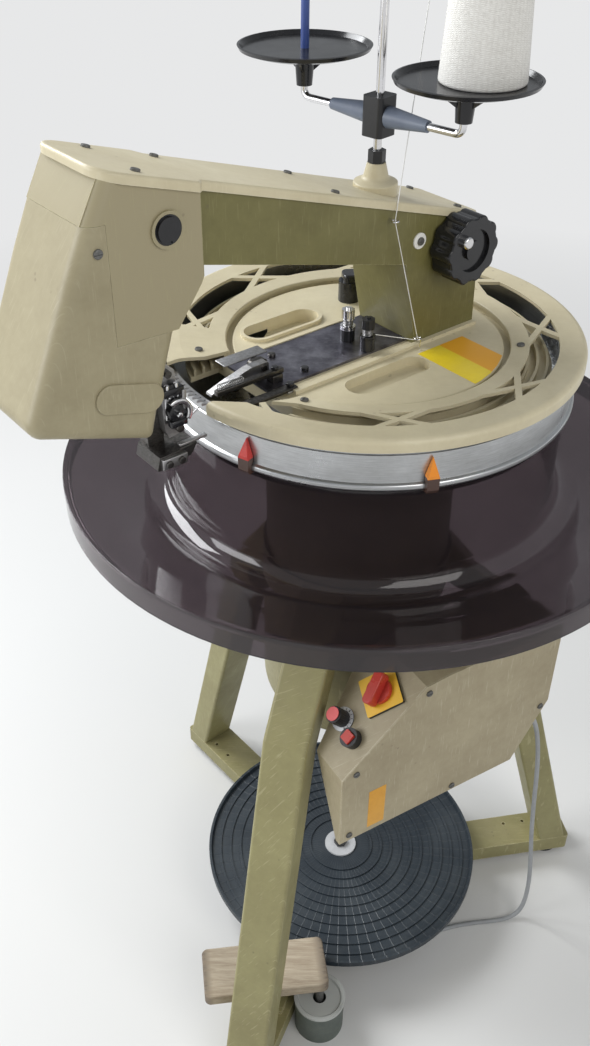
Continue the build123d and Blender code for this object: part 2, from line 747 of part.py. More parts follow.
belt_run = math.hypot(wheel_u - head_shaft_u, wheel_z - head_shaft_z)
belt_tilt = math.degrees(math.atan2(wheel_z - head_shaft_z, wheel_u - head_shaft_u))
belt_inner = belt_radius + running_gap
belt_face = SlotCenterToCenter(belt_run, 2 * (belt_inner + belt_thick))
belt_face -= SlotCenterToCenter(belt_run, 2 * belt_inner)
belt_face = Pos((wheel_u + head_shaft_u) / 2, (wheel_height + boss_z) / 2) * Rot(0, 0, belt_tilt) * belt_face
drive_belt = extrude(Plane.XZ.offset(-(belt_width - 2.0) / 2) * belt_face, belt_width - 2.0)
put("drive_belt", along_arm(drive_belt))

# Head mechanism: a bracket with the needle lever, and the looper on the band


def seam_line(u):
    """Height of the head casting's underside above the ring."""
    return seam_z - 2.0 * (u - nose_u) / (head_shaft_u + 6.0 - nose_u)


needle_pivot = (-290.0, ring_top + 45.0)
needle_reach = 70.0
needle_angle = -53.5
clamp_angle = -84.0
bracket_half = 8.0
bracket_points = lift([
    (-348.0, seam_line(-348.0)),
    (-303.0, seam_line(-303.0)),
    (-280.0, 62.0),
    (-280.0, 30.0),
    (-290.0, 12.0),
    (-290.0, -52.0),
    (-308.0, -54.0),
    (-313.0, 20.0),
    (-334.0, 70.0),
])
head_bracket = upright(bracket_points, -bracket_half, bracket_half, {2: 8.0, 3: 8.0, 8: 12.0})
head_bracket += upright(lift([(-316.0, -56.0), (-274.0, -50.0), (-266.0, -38.0), (-312.0, -40.0)]),
                        -34.0, bracket_half, {0: 2.0, 1: 2.0})
head_bracket += cross_rod(4.0, -26.0, 0.0, *needle_pivot)

lever_front = -bracket_half - running_gap - 11.0
lever_back = -bracket_half - running_gap


def about_pivot(angle, radius):
    """A place on a circle round the needle pivot."""
    turn = math.radians(angle)
    return (needle_pivot[0] + radius * math.cos(turn), needle_pivot[1] + radius * math.sin(turn))


lever_points = [
    about_pivot(100.0, 11.0),
    about_pivot(180.0, 10.0),
    about_pivot(clamp_angle - 9.0, needle_reach - 2.0),
    about_pivot(clamp_angle - 6.0, needle_reach + 6.0),
    about_pivot(clamp_angle + 8.0, needle_reach + 6.0),
    about_pivot(clamp_angle + 8.0, needle_reach - 14.0),
    about_pivot(0.0, 11.0),
]
needle_lever = upright(lever_points, lever_front, lever_back, {0: 4.0, 1: 4.0, 5: 5.0, 6: 5.0})
needle_lever -= cross_rod(4.0 + shaft_gap, lever_front - 1.0, lever_back + 1.0, *needle_pivot)
needle_v = (lever_front + lever_back) / 2
needle_arc = CenterArc((needle_pivot[0], needle_pivot[1]), needle_reach, clamp_angle + 8.0,
                       needle_angle - clamp_angle - 8.0)
needle_path = Plane.XZ.offset(-needle_v) * needle_arc
needle = sweep(Plane(origin=needle_path @ 0, z_dir=needle_path % 0) * Circle(0.9), path=needle_path)
put("needle_lever", along_arm(needle_lever), along_arm(needle))

band_top = plate_top + band_thick
looper_pivot = (-160.0, band_top + 14.0)
looper_base = upright([
    (-171.0, band_top),
    (-146.0, band_top),
    (-148.0, band_top + 18.0),
    (-168.0, band_top + 18.0),
], 0.0, 9.0, {2: 4.0, 3: 4.0})
looper_base += cross_rod(3.5, -12.0, 4.0, *looper_pivot)
put("head_brackets", along_arm(head_bracket), along_arm(looper_base))
looper_low = ring_top - 8.0
looper = upright([
    (-153.0, looper_pivot[1] - 6.0),
    (-153.0, looper_pivot[1] + 6.0),
    (-176.0, looper_pivot[1] + 6.0),
    (-204.0, looper_low + 10.0),
    (-229.0, looper_low + 2.0),
    (-230.0, looper_low),
    (-204.0, looper_low + 3.0),
    (-172.0, looper_pivot[1] - 6.0),
], -10.0, -running_gap, {0: 3.0, 1: 3.0, 2: 4.0})
looper -= cross_rod(3.5 + shaft_gap, -12.0, 1.0, *looper_pivot)
put("looper", along_arm(looper))

# Thread tension posts, release knob, guides and small fittings on the arm

tension_places = [(-25.0, 7.0), (-24.0, -26.0)]
tension_posts = []
tension_discs = []
for index, (u, v) in enumerate(tension_places):
    tension_post = post(8.5, band_top, band_top + 14.0, u, v)
    tension_post += post(2.5, band_top + 13.0, band_top + 40.0, u, v)
    tension_posts.append(along_arm(tension_post))
    for level in (14.0, 16.2):
        disc = ring(2.5 + shaft_gap, 9.0, band_top + level, band_top + level + 1.6)
        tension_discs.append(along_arm(Pos(u, v, 0) * disc))
    tension_discs.append(along_arm(Pos(u, v, 0) * ring(3.4, 4.6, band_top + 17.8, band_top + 26.0)))
    knob = ring(2.5 + shaft_gap, 7.5, band_top + 26.0 + running_gap, band_top + 38.0)
    for turn in range(8):
        knob -= Rot(0, 0, turn * 45.0) * post(1.2, band_top + 27.0, band_top + 40.0, 7.9)
    put(f"tension_nut_{index + 1}", along_arm(Pos(u, v, 0) * knob))
put("tension_posts", *tension_posts, *tension_discs)

release_u = 53.0
release_v = 93.5
knob_low = plate_top
release_knob = post(13.5, knob_low, knob_low + 26.0)
release_knob += extrude(Pos(0, 0, knob_low + 22.0) * outline(
    [(-26.0, -3.0), (-8.0, -12.0), (9.0, -12.0), (9.0, 12.0), (-8.0, 12.0), (-26.0, 3.0)],
    {0: 2.0, 2: 6.0, 3: 6.0, 5: 2.0}), 14.0)
release_knob = fillet(release_knob.faces().sort_by(Axis.Z)[-1].edges(), 2.5)
put("release_knob", along_arm(Pos(release_u, release_v, 0) * Rot(0, 0, 150.0) * release_knob))

eyelet_u = -22.0
eyelet_z = ring_top + 147.0
eyelet_v = -arm_half - 9.0
eyelet = Pos(eyelet_u, eyelet_v, eyelet_z) * Torus(3.6, 1.0)
eyelet += cross_rod(1.2, eyelet_v + 3.4, -arm_half, eyelet_u, eyelet_z)
hook_u = 26.0
hook_v = -arm_half - 9.5
hook_z = ring_top - 1.0
hook = Pos(hook_u, hook_v, hook_z) * Torus(3.6, 1.0)
hook += post(0.8, plate_top, hook_z - 0.3, hook_u, hook_v - 3.6)

disc_u = 25.0
disc_z = ring_top + 112.0
white_disc = cross_rod(9.0, -arm_half - 2.0, -arm_half, disc_u, disc_z)
white_disc = fillet(white_disc.faces().sort_by(Axis.Y)[0].edges(), 0.8)
put("arm_caps", along_arm(sight_plug), along_arm(white_disc))

# Screws, all alike: a low round head with a slot


def screw_head():
    """A round screw head sitting on the XY plane."""
    head = turned([(0.0, 0.0), (4.5, 0.0), (4.5, 2.4), (0.0, 2.4)], {2: 1.2})
    return head - Pos(0, 0, 2.4) * Box(9.0, 1.2, 1.4)


screws = []
lid_tilt = Rot(0, arm_slope, 0)
for u, v in ((90.0, 38.0), (90.0, -38.0), (-90.0, 38.0), (-90.0, -38.0),
             (-250.0, 38.0), (-318.0, -42.0), (-318.0, 42.0)):
    place = Pos(u, v, ring_top + lid_line(u) + lid_rise) * lid_tilt
    screws.append(along_arm(place * screw_head()))
screw_seat = 0.02
ring_tilt = Rot(0, -math.degrees(math.atan2(rim_fall - 2.0, window_outer - ring_inner)), 0)
for radius, azimuth in ring_screw_places:
    share = (radius - ring_inner) / (window_outer - ring_inner)
    height = ring_top - rim_fall + share * (rim_fall - 2.0) + screw_seat
    screws.append(Rot(0, 0, azimuth) * Pos(radius, 0, height) * ring_tilt * screw_head())
screws.append(along_arm(Pos(-369.0, -head_half, ring_top + 199.0) * Rot(90, 0, 0) * screw_head()))
screws.append(along_arm(Pos(disc_u, -arm_half - 2.0, disc_z) * Rot(90, 0, 0) * screw_head()))

# Control box: folded sheet with a sloping control face and a flat side cover

box_outline = [
    (-160.0, 440.0),
    (-160.0, 563.0),
    (-42.0, 667.0),
    (-5.0, 670.0),
    (176.0, 670.0),
    (176.0, 533.0),
    (124.0, 440.0),
]
corner_low = Vector(-160.0, -215.0, 440.0)
corner_high = Vector(-160.0, -164.0, 563.0)
corner_inner = Vector(-85.0, -box_inner, 563.0)
corner_above = corner_high + Vector(0, 0, 100.0)


def beyond(first, second, third, inset):
    """A large block on the inner side of the plane through three points."""
    normal = (second - first).cross(third - first).normalized()
    cut_plane = Plane(origin=first + normal * inset, x_dir=(third - first).normalized(), z_dir=normal)
    return cut_plane * Pos(0, 0, -300.0) * Box(1600.0, 1600.0, 600.0)


def box_form(inset, reach):
    """The box's outer or inner form, standing along X with its cover towards -Y."""
    face = outline(box_outline)
    if inset > 0:
        face = offset(face, amount=-inset, kind=Kind.INTERSECTION)
    form = extrude(Plane.XZ.offset(box_inner + inset) * face, reach - box_inner - inset)
    form -= beyond(corner_high, corner_low, corner_inner, inset)
    form -= beyond(corner_above, corner_high, corner_inner, inset)
    return form


box_face = box_outer - box_sheet
control_box = box_form(0.0, box_face) - box_form(box_sheet, box_face + 5.0)
control_slope = Plane(origin=(-160.0, 0.0, 563.0), x_dir=(118.0, 0.0, 104.0), z_dir=(-104.0, 0.0, 118.0))
knob_place = (52.0, -163.0)
button_place = (45.0, -194.0)
isolator_place = (112.0, -180.0)
for s, y in (knob_place, button_place, isolator_place):
    control_box -= control_slope * Pos(s, y, 0) * Cylinder(5.0, 12.0)


def on_box(shape):
    """Turns what is drawn along X into the direction of the control box."""
    return Rot(0, 0, box_azimuth) * shape


gland_middle = Vector(150.0, -175.0, 486.5)
gland_way = Vector(93.0, 0.0, -52.0).normalized()
gland_plane = Plane(origin=gland_middle, x_dir=(0, 1, 0), z_dir=gland_way)
control_box -= gland_plane * Cylinder(cable_radius + 1.0, 12.0)
put("control_box", on_box(control_box))
cover_form = extrude(Plane.XZ.offset(box_face) * outline(box_outline), box_sheet)
cover_form = fillet(cover_form.faces().sort_by(Axis.Y)[0].edges(), 0.9)
put("box_cover", on_box(cover_form))
for a, z in ((-146.0, 452.0), (-140.0, 566.0), (-38.0, 655.0), (166.0, 655.0), (162.0, 528.0), (20.0, 449.0)):
    screws.append(on_box(Pos(a, -box_outer, z) * Rot(90, 0, 0) * screw_head()))
put("machine_screws", *screws)

gland_length = 26.0
gland = Solid.make_cone(cable_radius + 5.0, cable_radius + 1.5, gland_length, gland_plane)
gland += gland_plane * Pos(0, 0, 3.0) * Cylinder(cable_radius + 8.0, 6.0)
gland -= gland_plane * Cylinder(cable_radius, 4 * gland_length)
put("cable_gland", on_box(gland))

isolator_plate = fillet(Box(52.0, 52.0, 5.0).edges().filter_by(Axis.Z), 2.0)
isolator_plate = control_slope * Pos(*isolator_place, 2.5) * Rot(0, 0, -25.0) * isolator_plate
put("isolator_plate", on_box(isolator_plate))
handle = Pos(0, 0, 3.0) * Cylinder(17.0, 6.0)
handle += Pos(0, 0, 12.0) * fillet(Box(14.0, 44.0, 16.0).edges().filter_by(Axis.Z), 6.0)
handle = fillet(handle.faces().sort_by(Axis.Z)[-1].edges(), 2.0)
handle = control_slope * Pos(*isolator_place, 5.0 + running_gap) * Rot(0, 0, -70.0) * handle
put("isolator_handle", on_box(handle))

scale_plate = control_slope * Pos(*knob_place, 0.75) * Cylinder(16.0, 1.5)
speed_knob = Pos(0, 0, 11.0) * Cylinder(11.0, 22.0)
speed_knob = fillet(speed_knob.faces().sort_by(Axis.Z)[-1].edges(), 1.0)
for index in range(16):
    speed_knob -= Rot(0, 0, index * 22.5) * Pos(11.4, 0, 10.0) * Cylinder(0.9, 22.0)
speed_knob = control_slope * Pos(*knob_place, 1.5 + running_gap) * speed_knob
knob_cap = control_slope * Pos(*knob_place, 1.5 + running_gap + 23.0) * Cylinder(9.0, 2.0)
put("speed_knob", on_box(speed_knob), on_box(knob_cap))

bezel = Pos(0, 0, 6.0) * Cylinder(12.5, 12.0) - Pos(0, 0, 8.0) * Box(14.6, 14.6, 16.0)
bezel = control_slope * Pos(*button_place, 0) * bezel
put("button_bezels", on_box(scale_plate), on_box(bezel))
start_button = fillet(Box(14.0, 14.0, 11.0).edges().filter_by(Axis.Z), 1.5)
start_button = control_slope * Pos(*button_place, 5.5 + button_travel + running_gap) * start_button
put("start_button", on_box(start_button))

# Treadle: a wooden board on a pivot over the front foot, pressing a foot switch

board_low = 92.0
board_thick = 18.0
board_clearance = 2.0
board_side = 18.0
board_turn = 120.5
block = Pos(0, 0, (pivot_z - 7.0 + board_low) / 2) * Box(31.0, 16.0, board_low - pivot_z + 7.0)
block -= Pos(0, 0, pivot_z) * Rot(0, 90, 0) * Cylinder(4.0 + shaft_gap, 60.0)
board = fillet(Box(185.0, 80.0, board_thick).edges().filter_by(Axis.Z), 9.0)
board = fillet(board.faces().sort_by(Axis.Z)[-1].edges(), 3.0)
board = Pos(-board_clearance, -board_side, board_low + board_thick / 2) * Rot(0, 0, board_turn) * board
put("treadle_board", foot_frame_place * board)
switch_top = 68.0
switch_radius = 37.0
switch_spot = Rot(0, 0, treadle_azimuth) * Pos(foot_reach - 140.0, leg_width / 2 + switch_radius, 0)
foot_switch = turned([
    (0.0, 0.0),
    (switch_radius, 0.0),
    (switch_radius, switch_top - 6.0),
    (switch_radius + 1.5, switch_top - 4.0),
    (switch_radius + 1.5, switch_top),
    (33.0, switch_top),
    (31.0, switch_top - 3.0),
    (10.0, switch_top - 3.0),
    (10.0, switch_top - 22.0),
    (0.0, switch_top - 22.0),
])
put("foot_switch", switch_spot * foot_switch)
switch_peg = switch_spot * post(6.0, switch_top - 10.0, board_low)
put("treadle_block", foot_frame_place * block, switch_peg)

# Yarn stand

lid_cut = upright([
    (-80.0, ring_top + lid_line(-80.0) + lid_rise),
    (-80.0, ring_top + 60.0),
    (80.0, ring_top + 60.0),
    (80.0, ring_top + lid_line(80.0) + lid_rise),
], -80.0, 80.0)
base_low = ring_top + 150.0
nut_low = ring_top + 190.0
yarn_base = turned([
    (0.0, base_low),
    (24.0, base_low),
    (24.0, base_low + 20.0),
    (14.0, base_low + 24.0),
    (10.0, nut_low),
    (0.0, nut_low),
], {2: 2.0, 3: 6.0})
yarn_base -= post(rod_radius + 0.02, base_low - 1.0, nut_low + 1.0)
put("yarn_base", yarn_base - along_arm(lid_cut))
hub_height = ring_top + hub_z
rod_low = ring_top + lid_line(0.0) + lid_rise + 1.6
yarn_rod = post(rod_radius, rod_low, ring_top + rod_top)
yarn_rod = fillet(yarn_rod.faces().sort_by(Axis.Z)[-1].edges(), 1.5)

rod_nut = Pos(0, 0, nut_low) * extrude(RegularPolygon(9.5, 6), 13.0)
rod_nut -= post(rod_radius + 0.02, nut_low - 1.0, nut_low + 20.0)
centre_block = Pos(0, 0, hub_height) * fillet(Box(26.0, 28.0, 40.0).edges().filter_by(Axis.Z), 5.0)
centre_block -= post(rod_radius + 0.02, hub_height - 30.0, hub_height + 30.0)
guide_z = 600.0
top_collar = ring(rod_radius + 0.02, 9.0, ring_top + guide_z - 7.0, ring_top + guide_z + 7.0)
side_guide_z = 490.0
side_collar = ring(rod_radius + 0.02, 9.0, ring_top + side_guide_z - 7.0, ring_top + side_guide_z + 7.0)
turn_stand = Rot(0, 0, stand_azimuth)
put("rod_collars", rod_nut, turn_stand * centre_block, top_collar, side_collar)

sleeves = []
stand_rods = [yarn_rod]
plates = []
spindles = []
yarn_plate_top = ring_top + yarn_plate_z
socket_low = yarn_plate_top - 37.0
for side in (0.0, 180.0):
    turn = Rot(0, 0, stand_azimuth + side)
    sleeve = Solid.make_cone(11.0, 6.0, 50.0, Plane(origin=(13.0, 0, hub_height), z_dir=(1, 0, 0)))
    sleeves.append(turn * sleeve)
    bend_path = FilletPolyline((63.0, 0, hub_height), (stand_reach, 0, hub_height),
                               (stand_reach, 0, socket_low), radius=8.0)
    bend_rod = sweep(Plane(origin=bend_path @ 0, z_dir=bend_path % 0) * Circle(4.0), path=bend_path)
    stand_rods.append(turn * bend_rod)
    plate = turned([
        (0.0, socket_low),
        (8.5, socket_low),
        (10.5, yarn_plate_top - 12.0),
        (14.0, yarn_plate_top - 6.0),
        (60.0, yarn_plate_top - 3.5),
        (yarn_plate_radius - 2.0, yarn_plate_top),
        (yarn_plate_radius, yarn_plate_top + 4.0),
        (yarn_plate_radius - 2.5, yarn_plate_top + 4.5),
        (yarn_plate_radius - 6.0, yarn_plate_top),
        (0.0, yarn_plate_top),
    ], {4: 20.0})
    for gusset_turn in (0.0, 120.0, 240.0):
        gusset = upright([
            (8.0, yarn_plate_top - 24.0),
            (34.0, yarn_plate_top - 5.0),
            (8.0, yarn_plate_top - 5.0),
        ], -1.5, 1.5)
        plate += Rot(0, 0, gusset_turn) * gusset
    plates.append(turn * Pos(stand_reach, 0, 0) * plate)
    spindle = post(spindle_radius, yarn_plate_top, yarn_plate_top + spindle_length)
    spindle = fillet(spindle.faces().sort_by(Axis.Z)[-1].edges(), 2.0)
    spindles.append(turn * Pos(stand_reach, 0, 0) * spindle)
put("hub_sleeves", *sleeves)
put("stand_rods", *stand_rods)
put("yarn_plates", *plates)
put("yarn_spindles", *spindles)
yarn_cone = turned([
    (cone_bore, yarn_plate_top),
    (cone_base, yarn_plate_top),
    (cone_top, yarn_plate_top + cone_height),
    (cone_bore - 3.0, yarn_plate_top + cone_height),
], {1: 3.0, 2: 8.0})
put("yarn_cone", Pos(cone_shift, 0, 0) * turn_stand * Pos(stand_reach, 0, 0) * yarn_cone)

guide_height = ring_top + guide_z
front_guide = (stand_reach * math.cos(math.radians(stand_azimuth)),
               stand_reach * math.sin(math.radians(stand_azimuth)))
side_guide = (71.0, 105.0)
side_height = ring_top + side_guide_z
guide_wires = []
for x, y, height in ((*front_guide, guide_height), (*side_guide, side_height)):
    reach = math.hypot(x, y)
    turn = Rot(0, 0, math.degrees(math.atan2(y, x)))
    start = 9.0
    stop = reach - 5.0
    wire = Pos((start + stop) / 2, 0, height) * Rot(0, 90, 0) * Cylinder(1.5, stop - start)
    wire += Pos(reach, 0, height) * Torus(4.5, 1.2)
    guide_wires.append(turn * wire)
put("thread_guides", along_arm(eyelet), along_arm(hook), *guide_wires)

# Sewing thread, taut from the cone over the two top guides, down to the arm and the tension post


def arm_point(u, v, z):
    """A place given along and across the arm, in the part's own directions."""
    turn = math.radians(arm_azimuth)
    return (u * math.cos(turn) - v * math.sin(turn), u * math.sin(turn) + v * math.cos(turn), z)


def corner_radii(points, largest):
    """Arc radius for each corner: 0.45 of the shorter run over the tangent of half the turn."""
    radii = []
    for before, point, after in zip(points, points[1:], points[2:]):
        first = Vector(*point) - Vector(*before)
        second = Vector(*after) - Vector(*point)
        half_turn = math.radians(first.get_angle(second) / 2)
        radius = 0.45 * min(first.length, second.length) / math.tan(half_turn)
        radii.append(min(radius, largest))
    return radii


def cord_tube(name, points, radius, largest):
    """A round cord along straight runs and arcs. Prints its radii and its length."""
    radii = corner_radii(points, largest)
    path = FilletPolyline(*points, radius=radii)
    section = Plane(origin=path @ 0, z_dir=path % 0) * Circle(radius)
    tube = sweep(section, path=path)
    drawn = tube.volume / (math.pi * radius ** 2)
    print(name, "radii", [round(value, 1) for value in radii], "length", round(path.length), round(drawn))
    return tube


cone_shoulder = (front_guide[0] + cone_shift - 8.0, front_guide[1] + 24.0, yarn_plate_top + cone_height + 0.6)
thread_points = [
    cone_shoulder,
    (front_guide[0], front_guide[1] + 0.5, guide_height + 3.6),
    (front_guide[0], front_guide[1] + 6.5, guide_height + 3.0),
    (side_guide[0], side_guide[1], side_height + 0.5),
    arm_point(eyelet_u, eyelet_v, eyelet_z),
    arm_point(hook_u, hook_v, hook_z - 2.2),
    arm_point(-14.0, -27.5, band_top + 15.9),
]
put("sewing_thread", cord_tube("sewing_thread", thread_points, thread_radius, 3.0))

# Mains cable from the box to the floor, its put-away coil and its plug


def box_point(a, y, z):
    """A place in the control box's directions, in the part's own directions."""
    turn = math.radians(box_azimuth)
    return (a * math.cos(turn) - y * math.sin(turn), a * math.sin(turn) + y * math.cos(turn), z)


gland_tip = gland_middle + gland_way * gland_length
coil_x = 106.0
coil_y = -88.0
coil_radius = 40.0
coil_half = 11.0
coil_high = 21.0
cable_points = [
    box_point(gland_tip.X, gland_tip.Y, gland_tip.Z),
    box_point(gland_tip.X + 24.0, gland_tip.Y, gland_tip.Z - 16.0),
    (276.0, -50.0, 420.0),
    (285.0, -52.0, 372.0),
    (290.0, -56.0, 318.0),
    (293.0, -60.0, 260.0),
    (297.0, -64.0, 202.0),
    (303.0, -68.0, 144.0),
    (308.0, -73.0, 90.0),
    (308.0, -80.0, 44.0),
    (300.0, -89.0, 14.0),
    (282.0, -97.0, 3.6),
    (254.0, -103.0, 3.6),
    (221.0, -106.0, 3.6),
    (187.0, -112.0, 3.6),
    (154.0, -122.0, 3.6),
    (coil_x + 14.0, coil_y - 45.0, 3.6),
]
cable = cord_tube("mains_cable", cable_points, cable_radius, 400.0)
coil = turned([
    (coil_radius - coil_half, 0.0),
    (coil_radius + coil_half, 0.0),
    (coil_radius + coil_half, coil_high),
    (coil_radius - coil_half, coil_high),
], {0: 5.0, 1: 5.0, 2: 5.0, 3: 5.0})
coil = Pos(coil_x, coil_y, 0) * coil
put("mains_cable", cable - coil)
put("cable_coil", coil)
plug_y = coil_y - coil_radius
plug_x = coil_x + 16.0
plug_z = coil_high + 13.0
plug = Pos(plug_x - 34.0, plug_y, plug_z) * Rot(0, 90, 0) * fillet(Cylinder(13.0, 30.0).edges(), 3.0)
plug += Solid.make_cone(5.0, 8.5, 16.0, Plane(origin=(plug_x - 4.0, plug_y, plug_z), z_dir=(-1, 0, 0)))
for side in (-9.5, 9.5):
    plug += Pos(plug_x - 58.0, plug_y + side * 0.7, plug_z) * Rot(0, 90, 0) * Cylinder(2.4, 19.0)
put("mains_plug", plug)
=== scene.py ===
import math
import bpy
from mathutils import Matrix, Vector


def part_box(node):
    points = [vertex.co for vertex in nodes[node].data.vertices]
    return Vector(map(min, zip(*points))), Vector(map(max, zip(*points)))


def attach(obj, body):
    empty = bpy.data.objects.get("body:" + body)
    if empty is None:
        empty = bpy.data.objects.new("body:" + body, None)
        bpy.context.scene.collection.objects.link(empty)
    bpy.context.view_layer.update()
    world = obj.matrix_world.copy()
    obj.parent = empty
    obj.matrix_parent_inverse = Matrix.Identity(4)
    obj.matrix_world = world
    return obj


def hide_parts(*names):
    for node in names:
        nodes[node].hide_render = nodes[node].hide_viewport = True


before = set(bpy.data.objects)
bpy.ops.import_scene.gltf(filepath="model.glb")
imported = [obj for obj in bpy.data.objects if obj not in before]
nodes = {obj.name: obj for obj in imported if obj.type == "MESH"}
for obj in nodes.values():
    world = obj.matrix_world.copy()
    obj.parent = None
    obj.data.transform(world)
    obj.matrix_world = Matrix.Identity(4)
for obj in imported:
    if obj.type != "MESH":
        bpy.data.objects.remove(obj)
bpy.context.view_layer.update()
mm = 0.001
armDegrees = 38.0  # the arm's direction, from the world's X
armTurn = math.radians(armDegrees)
armAlong = (math.cos(armTurn), math.sin(armTurn), 0)
armAcross = (-math.sin(armTurn), math.cos(armTurn), 0)
boxTurn = math.radians(30.0)  # the control box's direction
dialAxis = (-9.0 * mm, 5.2 * mm, 0.0)  # the dial's axis, from the frame's origin
print("frame loaded", len(nodes), "nodes")


# Photo's camera, from its place over the machine
photo = {"width": 590, "height": 1046, "focal": 1048.8, "centre": (276.85, 525.5), "sensor": 36.0}
view = {"place": (-0.1132, -1.1123, 1.5821), "tilt": 53.4, "roll": 0.17, "near": 0.02}


def makeCamera():
    data = bpy.data.cameras.new("photoCamera")
    camera = bpy.data.objects.new("photoCamera", data)
    bpy.context.scene.collection.objects.link(camera)
    data.sensor_fit = "AUTO"
    data.sensor_width = photo["sensor"]
    data.lens = photo["focal"] / photo["height"] * photo["sensor"]
    data.shift_x = (photo["width"] / 2 - photo["centre"][0]) / photo["height"]
    data.shift_y = (photo["centre"][1] - photo["height"] / 2) / photo["height"]
    data.clip_start = view["near"]
    camera.location = view["place"]
    camera.rotation_euler = (math.radians(view["tilt"]), math.radians(view["roll"]), 0.0)
    bpy.context.scene.camera = camera


makeCamera()


# Short ways to make and join shader nodes
def addNode(tree, kind, inputs=None, **settings):
    made = tree.nodes.new(kind)
    for name, value in settings.items():
        setattr(made, name, value)
    for socket, value in (inputs or {}).items():
        put(tree, made.inputs[socket], value)
    return made


def put(tree, socket, value):
    if isinstance(value, bpy.types.NodeSocket):
        tree.links.new(value, socket)
    elif socket.type == "RGBA" and len(value) == 3:
        socket.default_value = (*value, 1.0)
    else:
        socket.default_value = value


def maths(tree, operation, first, second=0.5, clamp=False):
    made = addNode(tree, "ShaderNodeMath", {0: first, 1: second}, operation=operation, use_clamp=clamp)
    return made.outputs[0]


def mixColor(tree, factor, first, second, blend="MIX"):
    made = addNode(tree, "ShaderNodeMix", data_type="RGBA", blend_type=blend)
    put(tree, made.inputs[0], factor)
    put(tree, made.inputs[6], first)
    put(tree, made.inputs[7], second)
    return made.outputs[2]


def span(tree, value, low, high, toLow=0.0, toHigh=1.0):
    made = addNode(tree, "ShaderNodeMapRange", {0: value, 1: low, 2: high, 3: toLow, 4: toHigh})
    return made.outputs[0]


# Places measured from the dial's axis, and a mask of what lies beyond a plane
def axisPlace(tree):
    coords = addNode(tree, "ShaderNodeTexCoord").outputs["Object"]
    return addNode(tree, "ShaderNodeVectorMath", {0: coords, 1: dialAxis}, operation="SUBTRACT").outputs[0]


def objectPlace(tree, turn=(0.0, 0.0, 0.0), size=(1.0, 1.0, 1.0), shift=(0.0, 0.0, 0.0)):
    return addNode(tree, "ShaderNodeMapping", {0: axisPlace(tree), 1: shift, 2: turn, 3: size}).outputs[0]


def noise(tree, place, scale, detail=3.0, rough=0.5, twist=0.0):
    inputs = {"Vector": place, "Scale": scale, "Detail": detail, "Roughness": rough, "Distortion": twist}
    return addNode(tree, "ShaderNodeTexNoise", inputs).outputs["Fac"]


def beyond(tree, direction, distance, soft=0.3 * mm):
    place = axisPlace(tree)
    dot = addNode(tree, "ShaderNodeVectorMath", {0: place, 1: direction}, operation="DOT_PRODUCT")
    return span(tree, dot.outputs["Value"], distance - soft, distance + soft)


def bump(tree, shader, height, strength, distance):
    made = addNode(tree, "ShaderNodeBump", {"Height": height, "Strength": strength, "Distance": distance})
    tree.links.new(made.outputs[0], shader.inputs["Normal"])


def newMaterial(name):
    material = bpy.data.materials.new(name)
    material.use_nodes = True
    tree = material.node_tree
    tree.nodes.clear()
    shader = addNode(tree, "ShaderNodeBsdfPrincipled")
    out = addNode(tree, "ShaderNodeOutputMaterial")
    tree.links.new(shader.outputs[0], out.inputs[0])
    return material, tree, shader


# Effects shared by several finishes, each a node group
def startGroup(name, inputs, outputs):
    group = bpy.data.node_groups.new(name, "ShaderNodeTree")
    for label, kind, value in inputs:
        group.interface.new_socket(name=label, in_out="INPUT", socket_type=kind).default_value = value
    for label, kind in outputs:
        group.interface.new_socket(name=label, in_out="OUTPUT", socket_type=kind)
    return group, addNode(group, "NodeGroupInput"), addNode(group, "NodeGroupOutput")


floatKind = "NodeSocketFloat"
colorKind = "NodeSocketColor"


def edgeWearGroup():
    group, inlet, outlet = startGroup(
        "edgeWear",
        [("Radius", floatKind, 0.0015), ("Amount", floatKind, 1.0), ("Scale", floatKind, 60.0)],
        [("Mask", floatKind)])
    soft = addNode(group, "ShaderNodeBevel", {"Radius": inlet.outputs["Radius"]}, samples=4)
    plain = addNode(group, "ShaderNodeNewGeometry")
    dot = addNode(group, "ShaderNodeVectorMath", {0: soft.outputs[0], 1: plain.outputs["Normal"]},
                  operation="DOT_PRODUCT")
    edge = maths(group, "SUBTRACT", 1.0, dot.outputs["Value"])
    edge = maths(group, "MULTIPLY", edge, inlet.outputs["Amount"])
    patchy = noise(group, objectPlace(group), inlet.outputs["Scale"], 5.0, 0.65)
    patchy = span(group, patchy, 0.38, 0.62)
    group.links.new(maths(group, "MULTIPLY", edge, patchy, True), outlet.inputs["Mask"])
    return group


def mottleGroup():
    group, inlet, outlet = startGroup(
        "mottle",
        [("Scale", floatKind, 8.0), ("Light", colorKind, (1, 1, 1, 1)), ("Dark", colorKind, (0, 0, 0, 1))],
        [("Color", colorKind), ("Value", floatKind)])
    place = objectPlace(group)
    large = noise(group, place, inlet.outputs["Scale"], 6.0, 0.6, 0.4)
    fine = noise(group, place, maths(group, "MULTIPLY", inlet.outputs["Scale"], 9.0), 4.0, 0.7)
    both = maths(group, "ADD", maths(group, "MULTIPLY", large, 0.72), maths(group, "MULTIPLY", fine, 0.28))
    value = span(group, both, 0.36, 0.64)
    color = mixColor(group, value, inlet.outputs["Dark"], inlet.outputs["Light"])
    group.links.new(color, outlet.inputs["Color"])
    group.links.new(value, outlet.inputs["Value"])
    return group


